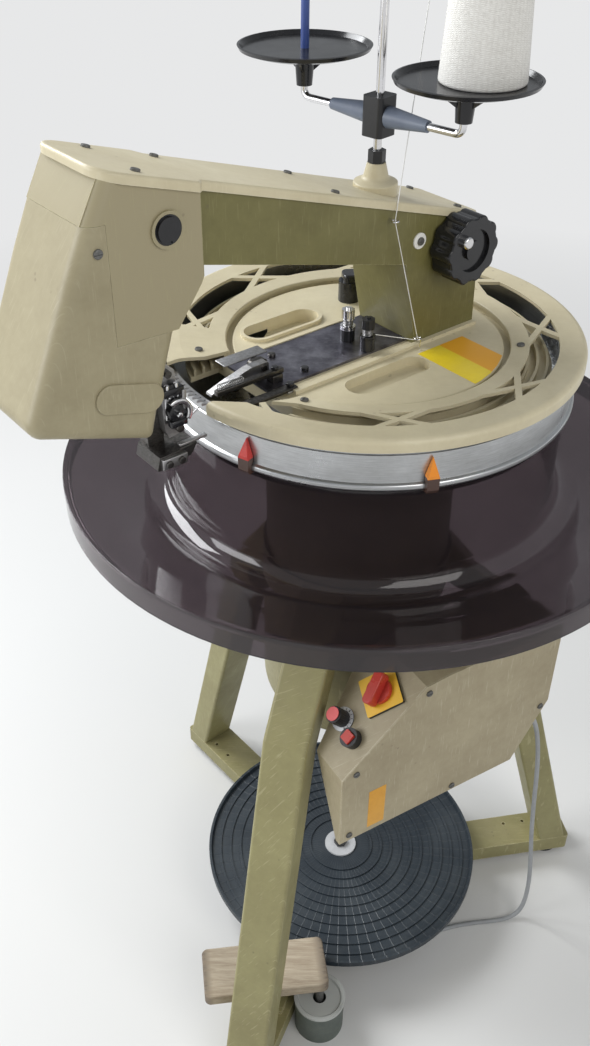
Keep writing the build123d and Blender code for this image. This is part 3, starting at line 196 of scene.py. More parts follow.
def grimeGroup():
    group, inlet, outlet = startGroup(
        "grime",
        [("Scale", floatKind, 14.0), ("Amount", floatKind, 0.4)],
        [("Top", floatKind), ("Spots", floatKind)])
    place = objectPlace(group)
    normal = addNode(group, "ShaderNodeNewGeometry").outputs["Normal"]
    upward = addNode(group, "ShaderNodeSeparateXYZ", {0: normal}).outputs[2]
    lying = noise(group, place, inlet.outputs["Scale"], 8.0, 0.7)
    top = maths(group, "MULTIPLY", span(group, upward, 0.2, 0.95), span(group, lying, 0.42, 0.75))
    group.links.new(maths(group, "MULTIPLY", top, inlet.outputs["Amount"], True), outlet.inputs["Top"])
    cells = addNode(group, "ShaderNodeTexVoronoi", {"Vector": place, "Scale": maths(
        group, "MULTIPLY", inlet.outputs["Scale"], 6.0)})
    spots = span(group, cells.outputs["Distance"], 0.16, 0.06)
    rare = span(group, noise(group, place, inlet.outputs["Scale"], 2.0), 0.56, 0.66)
    spots = maths(group, "MULTIPLY", spots, rare)
    group.links.new(maths(group, "MULTIPLY", spots, inlet.outputs["Amount"], True), outlet.inputs["Spots"])
    return group


def scratchGroup():
    group, inlet, outlet = startGroup(
        "scratches", [("Scale", floatKind, 40.0), ("Amount", floatKind, 0.5)], [("Mask", floatKind)])
    total = None
    for turn, stretch in ((0.5, 26.0), (-0.9, 22.0), (1.9, 30.0)):
        place = objectPlace(group, (turn, turn * 0.7, turn), (1.0, stretch, 1.0))
        line = span(group, noise(group, place, inlet.outputs["Scale"], 2.0), 0.66, 0.72)
        total = line if total is None else maths(group, "MAXIMUM", total, line)
    group.links.new(maths(group, "MULTIPLY", total, inlet.outputs["Amount"], True), outlet.inputs["Mask"])
    return group


groups = {"wear": edgeWearGroup(), "mottle": mottleGroup(), "grime": grimeGroup(), "scratch": scratchGroup()}


def useGroup(tree, name, **inputs):
    made = addNode(tree, "ShaderNodeGroup", node_tree=groups[name])
    for socket, value in inputs.items():
        put(tree, made.inputs[socket], value)
    return made


print("node groups ready")


# Painted metal: mottled colour, pale worn edges, dust on top, dark spots and a fine spray grain.
# A look with "second" has that colour short of the plane "splitAt" metres along "split".
def paint(name, look):
    material, tree, shader = newMaterial(name)
    base = useGroup(tree, "mottle", Scale=look["mottle"], Light=look["light"], Dark=look["dark"])
    color = base.outputs["Color"]
    if "second" in look:
        color = mixColor(tree, beyond(tree, look["split"], look["splitAt"]), look["second"], color)
    dirt = useGroup(tree, "grime", Scale=look["grimeScale"], Amount=look["grime"])
    color = mixColor(tree, dirt.outputs["Top"], color, look["dust"])
    color = mixColor(tree, dirt.outputs["Spots"], color, look["spot"])
    lines = useGroup(tree, "scratch", Scale=look["scratchScale"], Amount=look["scratch"])
    color = mixColor(tree, lines.outputs["Mask"], color, look["worn"])
    edge = useGroup(tree, "wear", Radius=look["edge"], Amount=look["wear"], Scale=look["wearScale"])
    color = mixColor(tree, edge.outputs["Mask"], color, look["worn"])
    put(tree, shader.inputs["Base Color"], color)
    rough = span(tree, base.outputs["Value"], 0.0, 1.0, look["rough"] + 0.08, look["rough"] - 0.05)
    put(tree, shader.inputs["Roughness"], rough)
    shader.inputs["Specular IOR Level"].default_value = look["specular"]
    grain = noise(tree, objectPlace(tree), look["grainScale"], 3.0, 0.6)
    bump(tree, shader, grain, look["grain"], 0.4 * mm)
    return material


creamLook = {"light": (0.63, 0.565, 0.39), "dark": (0.54, 0.475, 0.315), "mottle": 9.0,
             "dust": (0.50, 0.44, 0.31), "spot": (0.12, 0.09, 0.06), "worn": (0.72, 0.67, 0.52),
             "grime": 0.45, "grimeScale": 12.0, "scratch": 0.16, "scratchScale": 30.0,
             "edge": 1.4 * mm, "wear": 2.2, "wearScale": 70.0, "rough": 0.42, "specular": 0.45,
             "grain": 0.10, "grainScale": 900.0}
# The arm's head end ("second") is two-tone paint, its cream-brown tone the cream paint darkened as painted
# shade
armLook = dict(creamLook, light=(0.175, 0.160, 0.055), dark=(0.128, 0.114, 0.038), worn=(0.42, 0.39, 0.21),
               dust=(0.22, 0.195, 0.10), second=(0.328, 0.284, 0.175), split=armAlong, splitAt=-0.2625,
               wear=2.4)
# The nose cover takes the cream paint's colours darkened: painted shade on a cover of the same cream paint
noseShadedLook = dict(creamLook, light=(0.37, 0.325, 0.205), dark=(0.295, 0.255, 0.155), worn=(0.60, 0.54, 0.38))
legLook = dict(creamLook, light=(0.30, 0.275, 0.125), dark=(0.235, 0.21, 0.095), worn=(0.58, 0.52, 0.33),
               dust=(0.33, 0.29, 0.18), wear=3.6, edge=3.0 * mm, scratch=0.28, grime=0.55)
boxLook = dict(creamLook, light=(0.40, 0.345, 0.225), dark=(0.31, 0.26, 0.165), worn=(0.56, 0.51, 0.38),
               dust=(0.42, 0.37, 0.26), wear=3.0, edge=2.0 * mm, scratch=0.35, grime=0.5)
housingLook = dict(legLook, light=(0.27, 0.245, 0.12), dark=(0.20, 0.18, 0.09), wear=1.6)
creamPaint = paint("creamPaint", creamLook)
armPaint = paint("armPaint", armLook)
noseShadedPaint = paint("noseShadedPaint", noseShadedLook)
legPaint = paint("legPaint", legLook)
boxPaint = paint("boxPaint", boxLook)
housingPaint = paint("housingPaint", housingLook)


# Bare metals: fine lines in one direction, small changes of gloss and a few scratches. With planes
# in "bareFrom" the metal is bare only beyond all of them, and the cover's colour elsewhere.
def metal(name, look):
    material, tree, shader = newMaterial(name)
    lines = noise(tree, objectPlace(tree, look["turn"], look["stretch"]), look["lineScale"], 4.0, 0.6)
    color = mixColor(tree, span(tree, lines, 0.35, 0.65), look["dark"], look["light"])
    stain = useGroup(tree, "mottle", Scale=look["stainScale"], Light=(1, 1, 1), Dark=look["stain"])
    color = mixColor(tree, 0.8, color, stain.outputs["Color"], "MULTIPLY")
    marks = useGroup(tree, "scratch", Scale=look["stainScale"] * 4, Amount=look["scratch"])
    color = mixColor(tree, marks.outputs["Mask"], color, look["light"])
    bare = look["metallic"]
    for direction, distance in look.get("bareFrom", []):
        bare = maths(tree, "MULTIPLY", beyond(tree, direction, distance), bare)
        color = mixColor(tree, bare, look["cover"], color)
    put(tree, shader.inputs["Base Color"], color)
    put(tree, shader.inputs["Metallic"], bare)
    rough = span(tree, stain.outputs["Value"], 0.0, 1.0, look["rough"] + 0.10, look["rough"])
    put(tree, shader.inputs["Roughness"], maths(tree, "ADD", rough, maths(tree, "MULTIPLY", lines, 0.08)))
    bump(tree, shader, lines, look["grain"], 0.15 * mm)
    return material


steelLook = {"light": (0.52, 0.52, 0.53), "dark": (0.36, 0.36, 0.37), "stain": (0.72, 0.68, 0.62),
             "stainScale": 30.0, "turn": (0, 0, 0), "stretch": (1, 1, 8), "lineScale": 300.0,
             "metallic": 1.0, "rough": 0.28, "scratch": 0.3, "grain": 0.12}
chromeLook = dict(steelLook, light=(0.82, 0.82, 0.84), dark=(0.74, 0.74, 0.76), stain=(0.86, 0.84, 0.80),
                  rough=0.07, grain=0.02)
ironLook = dict(steelLook, light=(0.20, 0.20, 0.195), dark=(0.13, 0.13, 0.125), metallic=0.6, rough=0.5,
                grain=0.5, stretch=(1, 1, 1), lineScale=500.0)
darkSteelLook = dict(steelLook, light=(0.17, 0.165, 0.16), dark=(0.075, 0.072, 0.07), rough=0.26)
bandLook = dict(steelLook, light=(0.33, 0.325, 0.36), dark=(0.13, 0.125, 0.15), stain=(0.42, 0.41, 0.47),
                stainScale=16.0, rough=0.30, scratch=0.6, stretch=(1, 1, 1), lineScale=40.0)
postLook = dict(chromeLook, cover=(0.018, 0.018, 0.020), rough=0.12,
                bareFrom=[((0, 0, 1), 1.0432), (armAcross, -0.010)])
steelFinish = metal("steelFinish", steelLook)
chromeFinish = metal("chromeFinish", chromeLook)
ironFinish = metal("ironFinish", ironLook)
darkSteel = metal("darkSteel", darkSteelLook)
bandFinish = metal("bandFinish", bandLook)
postFinish = metal("postFinish", postLook)


# Turned metal: fine rings round the dial's axis
def turnedFinish(name, look):
    material, tree, shader = newMaterial(name)
    place = axisPlace(tree)
    parts = addNode(tree, "ShaderNodeSeparateXYZ", {0: place}).outputs
    radius = maths(tree, "SQRT", maths(tree, "ADD", maths(tree, "MULTIPLY", parts[0], parts[0]),
                                       maths(tree, "MULTIPLY", parts[1], parts[1])))
    angle = maths(tree, "ARCTAN2", parts[1], parts[0])
    wrapped = maths(tree, "MULTIPLY", angle, look["along"])
    rolled = addNode(tree, "ShaderNodeCombineXYZ", {0: radius, 1: wrapped, 2: parts[2]})
    lines = noise(tree, rolled.outputs[0], look["lineScale"], 4.0, 0.65)
    color = mixColor(tree, span(tree, lines, 0.3, 0.7), look["dark"], look["light"])
    stain = useGroup(tree, "mottle", Scale=look["stainScale"], Light=(1, 1, 1), Dark=look["stain"])
    put(tree, shader.inputs["Base Color"], mixColor(tree, 0.9, color, stain.outputs["Color"], "MULTIPLY"))
    shader.inputs["Metallic"].default_value = look["metallic"]
    rough = span(tree, stain.outputs["Value"], 0, 1, look["rough"] + 0.1, look["rough"])
    put(tree, shader.inputs["Roughness"], rough)
    bump(tree, shader, lines, look["grain"], 0.2 * mm)
    return material


dialLook = {"light": (0.66, 0.67, 0.68), "dark": (0.50, 0.51, 0.52), "stain": (0.82, 0.82, 0.80),
            "stainScale": 12.0, "along": 0.01, "lineScale": 900.0, "metallic": 1.0, "rough": 0.26,
            "grain": 0.25}
dialFinish = turnedFinish("dialFinish", dialLook)


# Moulded plastics, rubber and paper: one colour, and others beyond the planes in "second"
def plastic(name, look):
    material, tree, shader = newMaterial(name)
    base = useGroup(tree, "mottle", Scale=look["mottle"], Light=look["light"], Dark=look["dark"])
    dirt = useGroup(tree, "grime", Scale=look["grimeScale"], Amount=look["grime"])
    color = mixColor(tree, dirt.outputs["Top"], base.outputs["Color"], look["dust"])
    for direction, distance, other in look.get("second", []):
        color = mixColor(tree, beyond(tree, direction, distance), color, other)
    put(tree, shader.inputs["Base Color"], color)
    rough = span(tree, base.outputs["Value"], 0.0, 1.0, look["rough"] + 0.08, look["rough"])
    matt = maths(tree, "MULTIPLY", dirt.outputs["Top"], 0.3)
    put(tree, shader.inputs["Roughness"], maths(tree, "ADD", rough, matt))
    grain = noise(tree, objectPlace(tree), look["grainScale"], 3.0, 0.6)
    bump(tree, shader, grain, look["grain"], 0.2 * mm)
    return material


slopeUp = (-0.572617, -0.3306, 0.750209)  # out of the box's control face
blackLook = {"light": (0.016, 0.016, 0.018), "dark": (0.009, 0.009, 0.010), "dust": (0.08, 0.077, 0.074),
             "mottle": 20.0, "grime": 0.30, "grimeScale": 24.0, "rough": 0.38, "grain": 0.12,
             "grainScale": 1200.0}
sleeveLook = dict(blackLook, light=(0.17, 0.20, 0.26), dark=(0.12, 0.145, 0.20), dust=(0.30, 0.31, 0.32))
spindleLook = dict(blackLook, light=(0.05, 0.09, 0.30), dark=(0.03, 0.06, 0.22), rough=0.3)
redLook = dict(blackLook, light=(0.52, 0.045, 0.030), dark=(0.42, 0.03, 0.02), rough=0.25,
               dust=(0.5, 0.25, 0.2), grime=0.2)
yellowLook = dict(blackLook, rough=0.3, second=[(slopeUp, 0.5326, (0.78, 0.47, 0.035))])
knobLook = dict(blackLook, second=[(slopeUp, 0.5532, (0.66, 0.10, 0.10))])
markerLook = dict(blackLook, light=(0.56, 0.035, 0.025), dark=(0.44, 0.025, 0.02), rough=0.22,
                  dust=(0.5, 0.25, 0.2), grime=0.1,
                  second=[((1, 0, 0), 0.0, (0.82, 0.27, 0.02)), ((0, 0, -1), -0.9905, (0.075, 0.04, 0.03))])
capLook = dict(blackLook, rough=0.2, second=[(armAlong, 0.0, (0.80, 0.79, 0.75))])
scaleLook = dict(blackLook, light=(0.66, 0.67, 0.68), dark=(0.54, 0.55, 0.57), dust=(0.40, 0.39, 0.37),
                 rough=0.35)
washerLook = dict(scaleLook, second=[((0, 0, 1), 0.0772, (0.03, 0.03, 0.03))])
switchLook = dict(blackLook, light=(0.12, 0.14, 0.12), dark=(0.08, 0.095, 0.085), dust=(0.28, 0.27, 0.24),
                  grime=0.6, rough=0.5, second=[((0, 0, 1), 0.064, (0.42, 0.43, 0.41))])
cableLook = dict(blackLook, light=(0.36, 0.37, 0.38), dark=(0.28, 0.29, 0.30), rough=0.5)
threadLook = dict(blackLook, light=(0.82, 0.81, 0.78), dark=(0.70, 0.69, 0.66), rough=0.7, grime=0.0)
blackPlastic = plastic("blackPlastic", blackLook)
glossBlack = plastic("glossBlack", dict(blackLook, rough=0.14, grain=0.03))
rubberFinish = plastic("rubberFinish", dict(blackLook, rough=0.62, grain=0.4))
sleevePlastic = plastic("sleevePlastic", sleeveLook)
bluePlastic = plastic("bluePlastic", spindleLook)
redPlastic = plastic("redPlastic", redLook)
yellowPlastic = plastic("yellowPlastic", yellowLook)
knobPlastic = plastic("knobPlastic", knobLook)
markerPlastic = plastic("markerPlastic", markerLook)
capPlastic = plastic("capPlastic", capLook)
scalePlastic = plastic("scalePlastic", scaleLook)
washerPlastic = plastic("washerPlastic", washerLook)
switchPlastic = plastic("switchPlastic", switchLook)
cableRubber = plastic("cableRubber", cableLook)
threadFinish = plastic("threadFinish", threadLook)

# Smoked plastic of the bowl: clear, tinted, with a faint haze and scratches
smokeLook = {"tint": (0.092, 0.070, 0.079), "deep": 0.8, "rough": 0.02, "hazeRough": 0.08, "hazeScale": 9.0,
             "ior": 1.49, "clear": 0.84, "scratch": 0.06, "scratchScale": 22.0}


def smokedPlastic():
    material, tree, shader = newMaterial("smokedPlastic")
    haze = noise(tree, objectPlace(tree), smokeLook["hazeScale"], 6.0, 0.6)
    deepTint = tuple(value * smokeLook["deep"] for value in smokeLook["tint"])
    color = mixColor(tree, span(tree, haze, 0.3, 0.7), smokeLook["tint"], deepTint)
    put(tree, shader.inputs["Base Color"], color)
    shader.inputs["Transmission Weight"].default_value = smokeLook["clear"]
    shader.inputs["IOR"].default_value = smokeLook["ior"]
    marks = useGroup(tree, "scratch", Scale=smokeLook["scratchScale"], Amount=smokeLook["scratch"])
    rough = span(tree, haze, 0.3, 0.7, smokeLook["rough"], smokeLook["hazeRough"])
    put(tree, shader.inputs["Roughness"], maths(tree, "ADD", rough, marks.outputs["Mask"]))
    return material


smokeFinish = smokedPlastic()

# Weathered wood of the treadle board, with dirty ends
woodLook = {"light": (0.47, 0.40, 0.30), "dark": (0.27, 0.21, 0.145), "ends": (0.075, 0.055, 0.04),
            "turn": 7.0, "middle": (-0.128, -0.249, 0.0), "half": 0.084, "endSoft": 6 * mm,
            "grainScale": 16.0, "grainStretch": (1.0, 9.0, 9.0), "fineScale": 30.0,
            "fineStretch": (1.0, 30.0, 30.0), "grime": 0.5, "grimeScale": 18.0, "rough": 0.78}


def woodFinish():
    material, tree, shader = newMaterial("weatheredWood")
    turn = math.radians(-woodLook["turn"])
    place = objectPlace(tree, (0.0, 0.0, turn), woodLook["grainStretch"])
    grain = noise(tree, place, woodLook["grainScale"], 8.0, 0.7, 0.6)
    finePlace = objectPlace(tree, (0.0, 0.0, turn), woodLook["fineStretch"])
    fine = noise(tree, finePlace, woodLook["fineScale"], 4.0, 0.6)
    both = maths(tree, "ADD", maths(tree, "MULTIPLY", grain, 0.65), maths(tree, "MULTIPLY", fine, 0.35))
    color = mixColor(tree, span(tree, both, 0.36, 0.62), woodLook["dark"], woodLook["light"])
    along = (math.cos(-turn), math.sin(-turn), 0.0)
    middle = Vector(woodLook["middle"]).dot(Vector(along))
    for sign in (1, -1):
        wayOut = tuple(sign * value for value in along)
        rim = beyond(tree, wayOut, sign * middle + woodLook["half"], woodLook["endSoft"])
        dirty = maths(tree, "MULTIPLY", rim, span(tree, both, 0.3, 0.6))
        color = mixColor(tree, dirty, color, woodLook["ends"])
    dirt = useGroup(tree, "grime", Scale=woodLook["grimeScale"], Amount=woodLook["grime"])
    color = mixColor(tree, dirt.outputs["Spots"], color, woodLook["ends"])
    put(tree, shader.inputs["Base Color"], color)
    shader.inputs["Roughness"].default_value = woodLook["rough"]
    bump(tree, shader, both, 0.6, 0.6 * mm)
    return material


boardWood = woodFinish()

# Dark plastic of the tray, with dust and short radial ribs
trayLook = {"light": (0.022, 0.032, 0.042), "dark": (0.014, 0.021, 0.029), "dust": (0.10, 0.11, 0.115),
            "grime": 0.32, "patchScale": 10.0, "spokes": 72, "spokeFrom": 0.90, "spokeDust": 0.22,
            "rough": 0.42}


def trayFinish():
    material, tree, shader = newMaterial("trayPlastic")
    place = axisPlace(tree)
    parts = addNode(tree, "ShaderNodeSeparateXYZ", {0: place}).outputs
    angle = maths(tree, "ARCTAN2", parts[1], parts[0])
    spoke = maths(tree, "SINE", maths(tree, "MULTIPLY", angle, trayLook["spokes"]))
    spoke = span(tree, spoke, trayLook["spokeFrom"], 1.0)
    base = useGroup(tree, "mottle", Scale=trayLook["patchScale"], Light=trayLook["light"],
                    Dark=trayLook["dark"])
    dirt = useGroup(tree, "grime", Scale=trayLook["patchScale"], Amount=trayLook["grime"])
    color = mixColor(tree, dirt.outputs["Top"], base.outputs["Color"], trayLook["dust"])
    color = mixColor(tree, maths(tree, "MULTIPLY", spoke, trayLook["spokeDust"]), color, trayLook["dust"])
    put(tree, shader.inputs["Base Color"], color)
    shader.inputs["Roughness"].default_value = trayLook["rough"]
    bump(tree, shader, spoke, 0.5, 0.8 * mm)
    return material


trayPlastic = trayFinish()

# Crosswound yarn round the cone's own axis, darker where the winding and fluff sink: painted shade between
# the threads
yarnLook = {"light": (0.80, 0.79, 0.75), "dark": (0.52, 0.50, 0.46), "pitch": 1.5 * mm, "slant": 26.0,
            "wave": 0.45, "fluff": 0.75, "fluffScale": 260.0, "rough": 0.85, "sheen": 0.3}


def yarnFinish(name, centre):
    material, tree, shader = newMaterial(name)
    place = objectPlace(tree, shift=(-centre[0], -centre[1], -centre[2]))
    parts = addNode(tree, "ShaderNodeSeparateXYZ", {0: place}).outputs
    angle = maths(tree, "ARCTAN2", parts[1], parts[0])
    total = None
    for sign in (1, -1):
        rise = maths(tree, "MULTIPLY", parts[2], 2 * math.pi / yarnLook["pitch"])
        lean = maths(tree, "MULTIPLY", angle, sign * yarnLook["slant"])
        wave = span(tree, maths(tree, "SINE", maths(tree, "ADD", rise, lean)), -1.0, 1.0)
        total = wave if total is None else maths(tree, "MULTIPLY", total, wave)
    fluff = noise(tree, place, yarnLook["fluffScale"], 5.0, 0.7)
    height = maths(tree, "ADD", maths(tree, "MULTIPLY", total, yarnLook["wave"]),
                   maths(tree, "MULTIPLY", fluff, yarnLook["fluff"]))
    # Painted shade: the dark colour where the winding's height is low, the light one on its ridges
    color = mixColor(tree, span(tree, height, 0.15, 0.75), yarnLook["dark"], yarnLook["light"])
    put(tree, shader.inputs["Base Color"], color)
    shader.inputs["Roughness"].default_value = yarnLook["rough"]
    shader.inputs["Sheen Weight"].default_value = yarnLook["sheen"]
    bump(tree, shader, height, 0.7, 0.8 * mm)
    return material


coneLow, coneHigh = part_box("yarn_cone")
coneAxis = ((coneLow[0] + coneHigh[0]) / 2 - dialAxis[0], (coneLow[1] + coneHigh[1]) / 2 - dialAxis[1],
            coneLow[2])
yarnWound = yarnFinish("woundYarn", coneAxis)
print("materials ready")

# Each finish and the CAD nodes that it goes on
finishes = [
    (creamPaint, ["top_ring", "centre_plate", "arm_lid", "yarn_base"]),
    (noseShadedPaint, ["nose_cover"]),
    (armPaint, ["arm_casting"]),
    (legPaint, ["leg_front", "leg_left", "leg_right", "foot_frame"]),
    (housingPaint, ["drive_housing", "bed_casting"]),
    (boxPaint, ["control_box", "box_cover"]),
    (steelFinish, ["bearings", "head_shaft", "pinion_shaft", "ring_gear", "point_ring", "looper",
                   "needle_lever"]),
    (darkSteel, ["head_brackets"]),
    (washerPlastic, ["tray_washer"]),
    (chromeFinish, ["stand_rods", "tension_nut_1", "thread_guides", "hand_shaft"]),
    (postFinish, ["tension_posts"]),
    (ironFinish, ["gear_motor", "treadle_block", "machine_screws"]),
    (bandFinish, ["band_plate"]),
    (dialFinish, ["dial_ring"]),
    (smokeFinish, ["work_bowl"]),
    (blackPlastic, ["rod_collars", "cable_gland", "mains_plug", "button_bezels", "tension_nut_2"]),
    (glossBlack, ["handwheel", "release_knob", "yarn_plates"]),
    (capPlastic, ["arm_caps"]),
    (knobPlastic, ["speed_knob"]),
    (markerPlastic, ["dial_markers"]),
    (rubberFinish, ["drive_belt", "rubber_feet"]),
    (sleevePlastic, ["hub_sleeves"]),
    (bluePlastic, ["yarn_spindles"]),
    (redPlastic, ["isolator_handle", "start_button"]),
    (yellowPlastic, ["isolator_plate"]),
    (switchPlastic, ["foot_switch"]),
    (boardWood, ["treadle_board"]),
    (trayPlastic, ["tray_disc"]),
    (cableRubber, ["cable_coil", "mains_cable"]),
    (yarnWound, ["yarn_cone"]),
    (threadFinish, ["sewing_thread"]),
]
for material, names in finishes:
    for name in names:
        for slot in nodes[name].material_slots:
            slot.material = material
print("finishes on the nodes")


# Places on the machine, in millimetres: along the arm, on the control box, and on its sloping face
slope = {"foot": (-160, 0, 563), "cosine": 0.7502, "sine": 0.6612}
sideways = Matrix.Rotation(math.radians(90), 4, "X")
lengthways = Matrix.Rotation(math.radians(90), 4, "Y")


def turnedPlace(turn, place):
    shift = Matrix.Translation([value * mm for value in place])
    return Matrix.Translation(dialAxis) @ Matrix.Rotation(turn, 4, "Z") @ shift


def armMatrix(u, v, z):
    return turnedPlace(armTurn, (u, v, z))


def boxMatrix(a, b, z):
    return turnedPlace(boxTurn, (a, b, z))


def slopeMatrix(s, y, h):
    cosine, sine = slope["cosine"], slope["sine"]
    tilt = Matrix(((cosine, 0, -sine, 0), (0, 1, 0, 0), (sine, 0, cosine, 0), (0, 0, 0, 1)))
    return boxMatrix(*slope["foot"]) @ tilt @ Matrix.Translation((s * mm, y * mm, h * mm))


# Small pieces: a primitive brought to size, its modifiers, then its place, finish, body and slot
def startSolid(kind, name, size):
    bpy.ops.object.select_all(action="DESELECT")
    if kind == "block":
        bpy.ops.mesh.primitive_cube_add(size=1.0)
    elif kind == "sheet":
        bpy.ops.mesh.primitive_plane_add(size=1.0)
    else:
        bpy.ops.mesh.primitive_cylinder_add(vertices=40, radius=0.5, depth=1.0)
    made = bpy.context.active_object
    made.name = name
    made.scale = [side * mm for side in size]
    bpy.ops.object.transform_apply(location=False, rotation=False, scale=True)
    return made


def addModifier(made, kind, **settings):
    modifier = made.modifiers.new(kind.lower(), kind)
    for name, value in settings.items():
        setattr(modifier, name, value)
    bpy.ops.object.modifier_apply(modifier=modifier.name)


def settle(made, matrix, material, body):
    made.matrix_world = matrix
    bpy.ops.object.transform_apply(location=True, rotation=True, scale=True)
    bpy.ops.object.shade_smooth_by_angle(angle=math.radians(35))
    made.data.materials.append(material)
    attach(made, body)


def addSolid(kind, name, size, matrix, material, body, edge):
    made = startSolid(kind, name, size)
    addModifier(made, "BEVEL", width=edge * mm, segments=3, limit_method="ANGLE",
                angle_limit=math.radians(30))
    settle(made, matrix, material, body)


# Bare yellow label on the centre plate, cut to the plate's edge, with an orange field
labelLook = {"size": (72.0, 93.0), "middle": (53.5, -113.0), "height": 1026.1, "thick": 0.25, "edge": 156.5,
             "cuts": (-78, -70, -62, -54, -46, -38, -30, -22), "field": 52.0 * mm}
labelPaper = plastic("labelPaper", dict(
    blackLook, light=(0.86, 0.66, 0.025), dark=(0.78, 0.57, 0.02), dust=(0.62, 0.50, 0.20), rough=0.34,
    grime=0.2, grain=0.03, second=[(armAlong, labelLook["field"], (0.80, 0.38, 0.02))]))


def makeLabel():
    made = startSolid("sheet", "plateLabel", (*labelLook["size"], 1.0))
    middle = labelLook["middle"]
    made.location = (middle[0] * mm, middle[1] * mm, 0)
    bpy.ops.object.transform_apply(location=True, rotation=False, scale=False)
    bpy.ops.object.mode_set(mode="EDIT")
    for azimuth in labelLook["cuts"]:
        turn = math.radians(azimuth - armDegrees)
        way = Vector((math.cos(turn), math.sin(turn), 0))
        bpy.ops.mesh.select_all(action="SELECT")
        bpy.ops.mesh.bisect(plane_co=way * labelLook["edge"] * mm, plane_no=way, clear_outer=True)
    bpy.ops.object.mode_set(mode="OBJECT")
    addModifier(made, "SOLIDIFY", thickness=labelLook["thick"] * mm)
    top = labelLook["height"] + labelLook["thick"]
    settle(made, armMatrix(0, 0, top), labelPaper, "machine")


makeLabel()

# Bare orange patch on the box's cover
patchLook = {"size": (26.0, 0.4, 70.0), "place": (-105.0, -224.1, 484.0)}
patchPaper = plastic("patchPaper", dict(
    blackLook, light=(0.72, 0.36, 0.035), dark=(0.62, 0.29, 0.03), dust=(0.45, 0.33, 0.18), rough=0.4))
addSolid("block", "coverPatch", patchLook["size"], boxMatrix(*patchLook["place"]), patchPaper, "machine",
         0.15)

# The speed knob's scale: a pale face and its strokes, every fifth one wider
knobScale = {"place": (52.0, -163.0), "radius": 15.9, "thick": 0.2, "height": 1.55, "first": -120,
             "step": 24, "count": 11, "reach": 13.4, "stroke": (3.2, 0.7, 0.12), "wide": 1.3, "every": 5,
             "strokeHeight": 1.7}
addSolid("rod", "scaleFace", (2 * knobScale["radius"], 2 * knobScale["radius"], knobScale["thick"]),
         slopeMatrix(*knobScale["place"], knobScale["height"]), scalePlastic, "machine", 0.05)
for index in range(knobScale["count"]):
    length, width, thick = knobScale["stroke"]
    width = width if index % knobScale["every"] else knobScale["wide"]
    way = Matrix.Rotation(math.radians(knobScale["first"] + index * knobScale["step"]), 4, "Z")
    place = slopeMatrix(*knobScale["place"], knobScale["strokeHeight"]) @ way
    addSolid("block", "scaleStroke%d" % index, (length, width, thick),
             place @ Matrix.Translation((knobScale["reach"] * mm, 0, 0)), blackPlastic, "machine",
             0.03)

# Small parts round the needle, by the arm's coordinates: kind, name, size, place, slot, edge.
# What is on the lever rides it. A pin is a rod laid sideways.
smallFinishes = {"steel": steelFinish, "darksteel": darkSteel, "glossblack": glossBlack,
                 "chrome": chromeFinish}
stillParts = [
    ("block", "guidePlate", (58, 18, 1.6), (-166, 23, 1045.8), "steel", 0.5),
    ("rod", "guidePost", (8, 8, 16), (-150, 23, 1037), "steel", 0.5),
    ("block", "slideBar", (88, 7, 6), (-186, -19, 1040), "darksteel", 0.8),
    ("block", "slideFoot", (14, 12, 9), (-152, -19, 1033.4), "darksteel", 0.8),
    ("block", "lowerBar", (74, 11, 4), (-180, -43, 1030), "darksteel", 0.8),
    ("block", "lowerFoot", (16, 14, 3), (-149, -42, 1027.6), "steel", 0.6),
    ("rod", "slideScrew", (8, 8, 4), (-152, -19, 1044.4), "glossblack", 0.6),
    ("rod", "lowerScrew", (9, 9, 4), (-149, -42, 1033.6), "glossblack", 0.6),
    ("rod", "bandScrewOne", (9, 9, 4), (-111, -20, 1030.8), "glossblack", 0.6),
    ("rod", "bandScrewTwo", (9, 9, 4), (-120, 28, 1030.8), "darksteel", 0.6),
    ("block", "bracketCap", (30, 5, 12), (-296, -36, 992), "steel", 0.8),
    ("block", "bracketFinger", (34, 6, 3), (-268, -28, 1003), "steel", 0.6),
]
leverParts = [
    ("block", "leverPlate", (15, 3.4, 30), (-286.5, -21.2, 1047), "chrome", 0.8),
    ("block", "leverCap", (24, 10, 9), (-287, -25, 1066), "glossblack", 1.2),
    ("rod", "capStudOne", (5, 5, 6), (-294, -27, 1072), "chrome", 0.8),
    ("rod", "capStudTwo", (5, 5, 6), (-283, -27, 1072), "chrome", 0.8),
    ("block", "leverTongue", (5, 8, 20), (-276, -27, 1056), "steel", 1.0),
    ("block", "leverFoot", (20, 9, 8), (-283, -26, 1029), "glossblack", 1.6),
]
bracketScrews = [
    ("pin", "bracketScrewOne", (8, 8, 3), (-304, -39.6, 992), "darksteel", 0.6),
    ("pin", "bracketScrewTwo", (8, 8, 3), (-289, -39.6, 992), "darksteel", 0.6),
]
leverPins = [
    ("pin", "clampKnob", (9, 9, 7), (-279.7, -23.2, 1019.8), "darksteel", 0.6),
    ("pin", "hookCore", (19, 19, 9), (-286, -27, 1043), "glossblack", 1.4),
    ("pin", "hookPin", (6, 6, 7), (-286, -34, 1043), "chrome", 0.8),
    ("pin", "plateScrew", (6, 6, 5), (-290, -24, 1057), "chrome", 0.8),
]
for body, parts in (("machine", stillParts), ("needle_body", leverParts),
                    ("machine", bracketScrews), ("needle_body", leverPins)):
    for kind, name, size, place, slotName, edge in parts:
        matrix = armMatrix(*place) @ sideways if kind == "pin" else armMatrix(*place)
        addSolid(kind, name, size, matrix, smallFinishes[slotName], body, edge)

# Bright curved clamp over the lever: a bar's section turned through part of a circle
clampShape = {"name": "clampArc", "place": (-286, -31, 1043), "radius": 14.0, "section": (6.0, 8.0),
              "from": -40, "turn": 165, "steps": 28, "edge": 1.2}


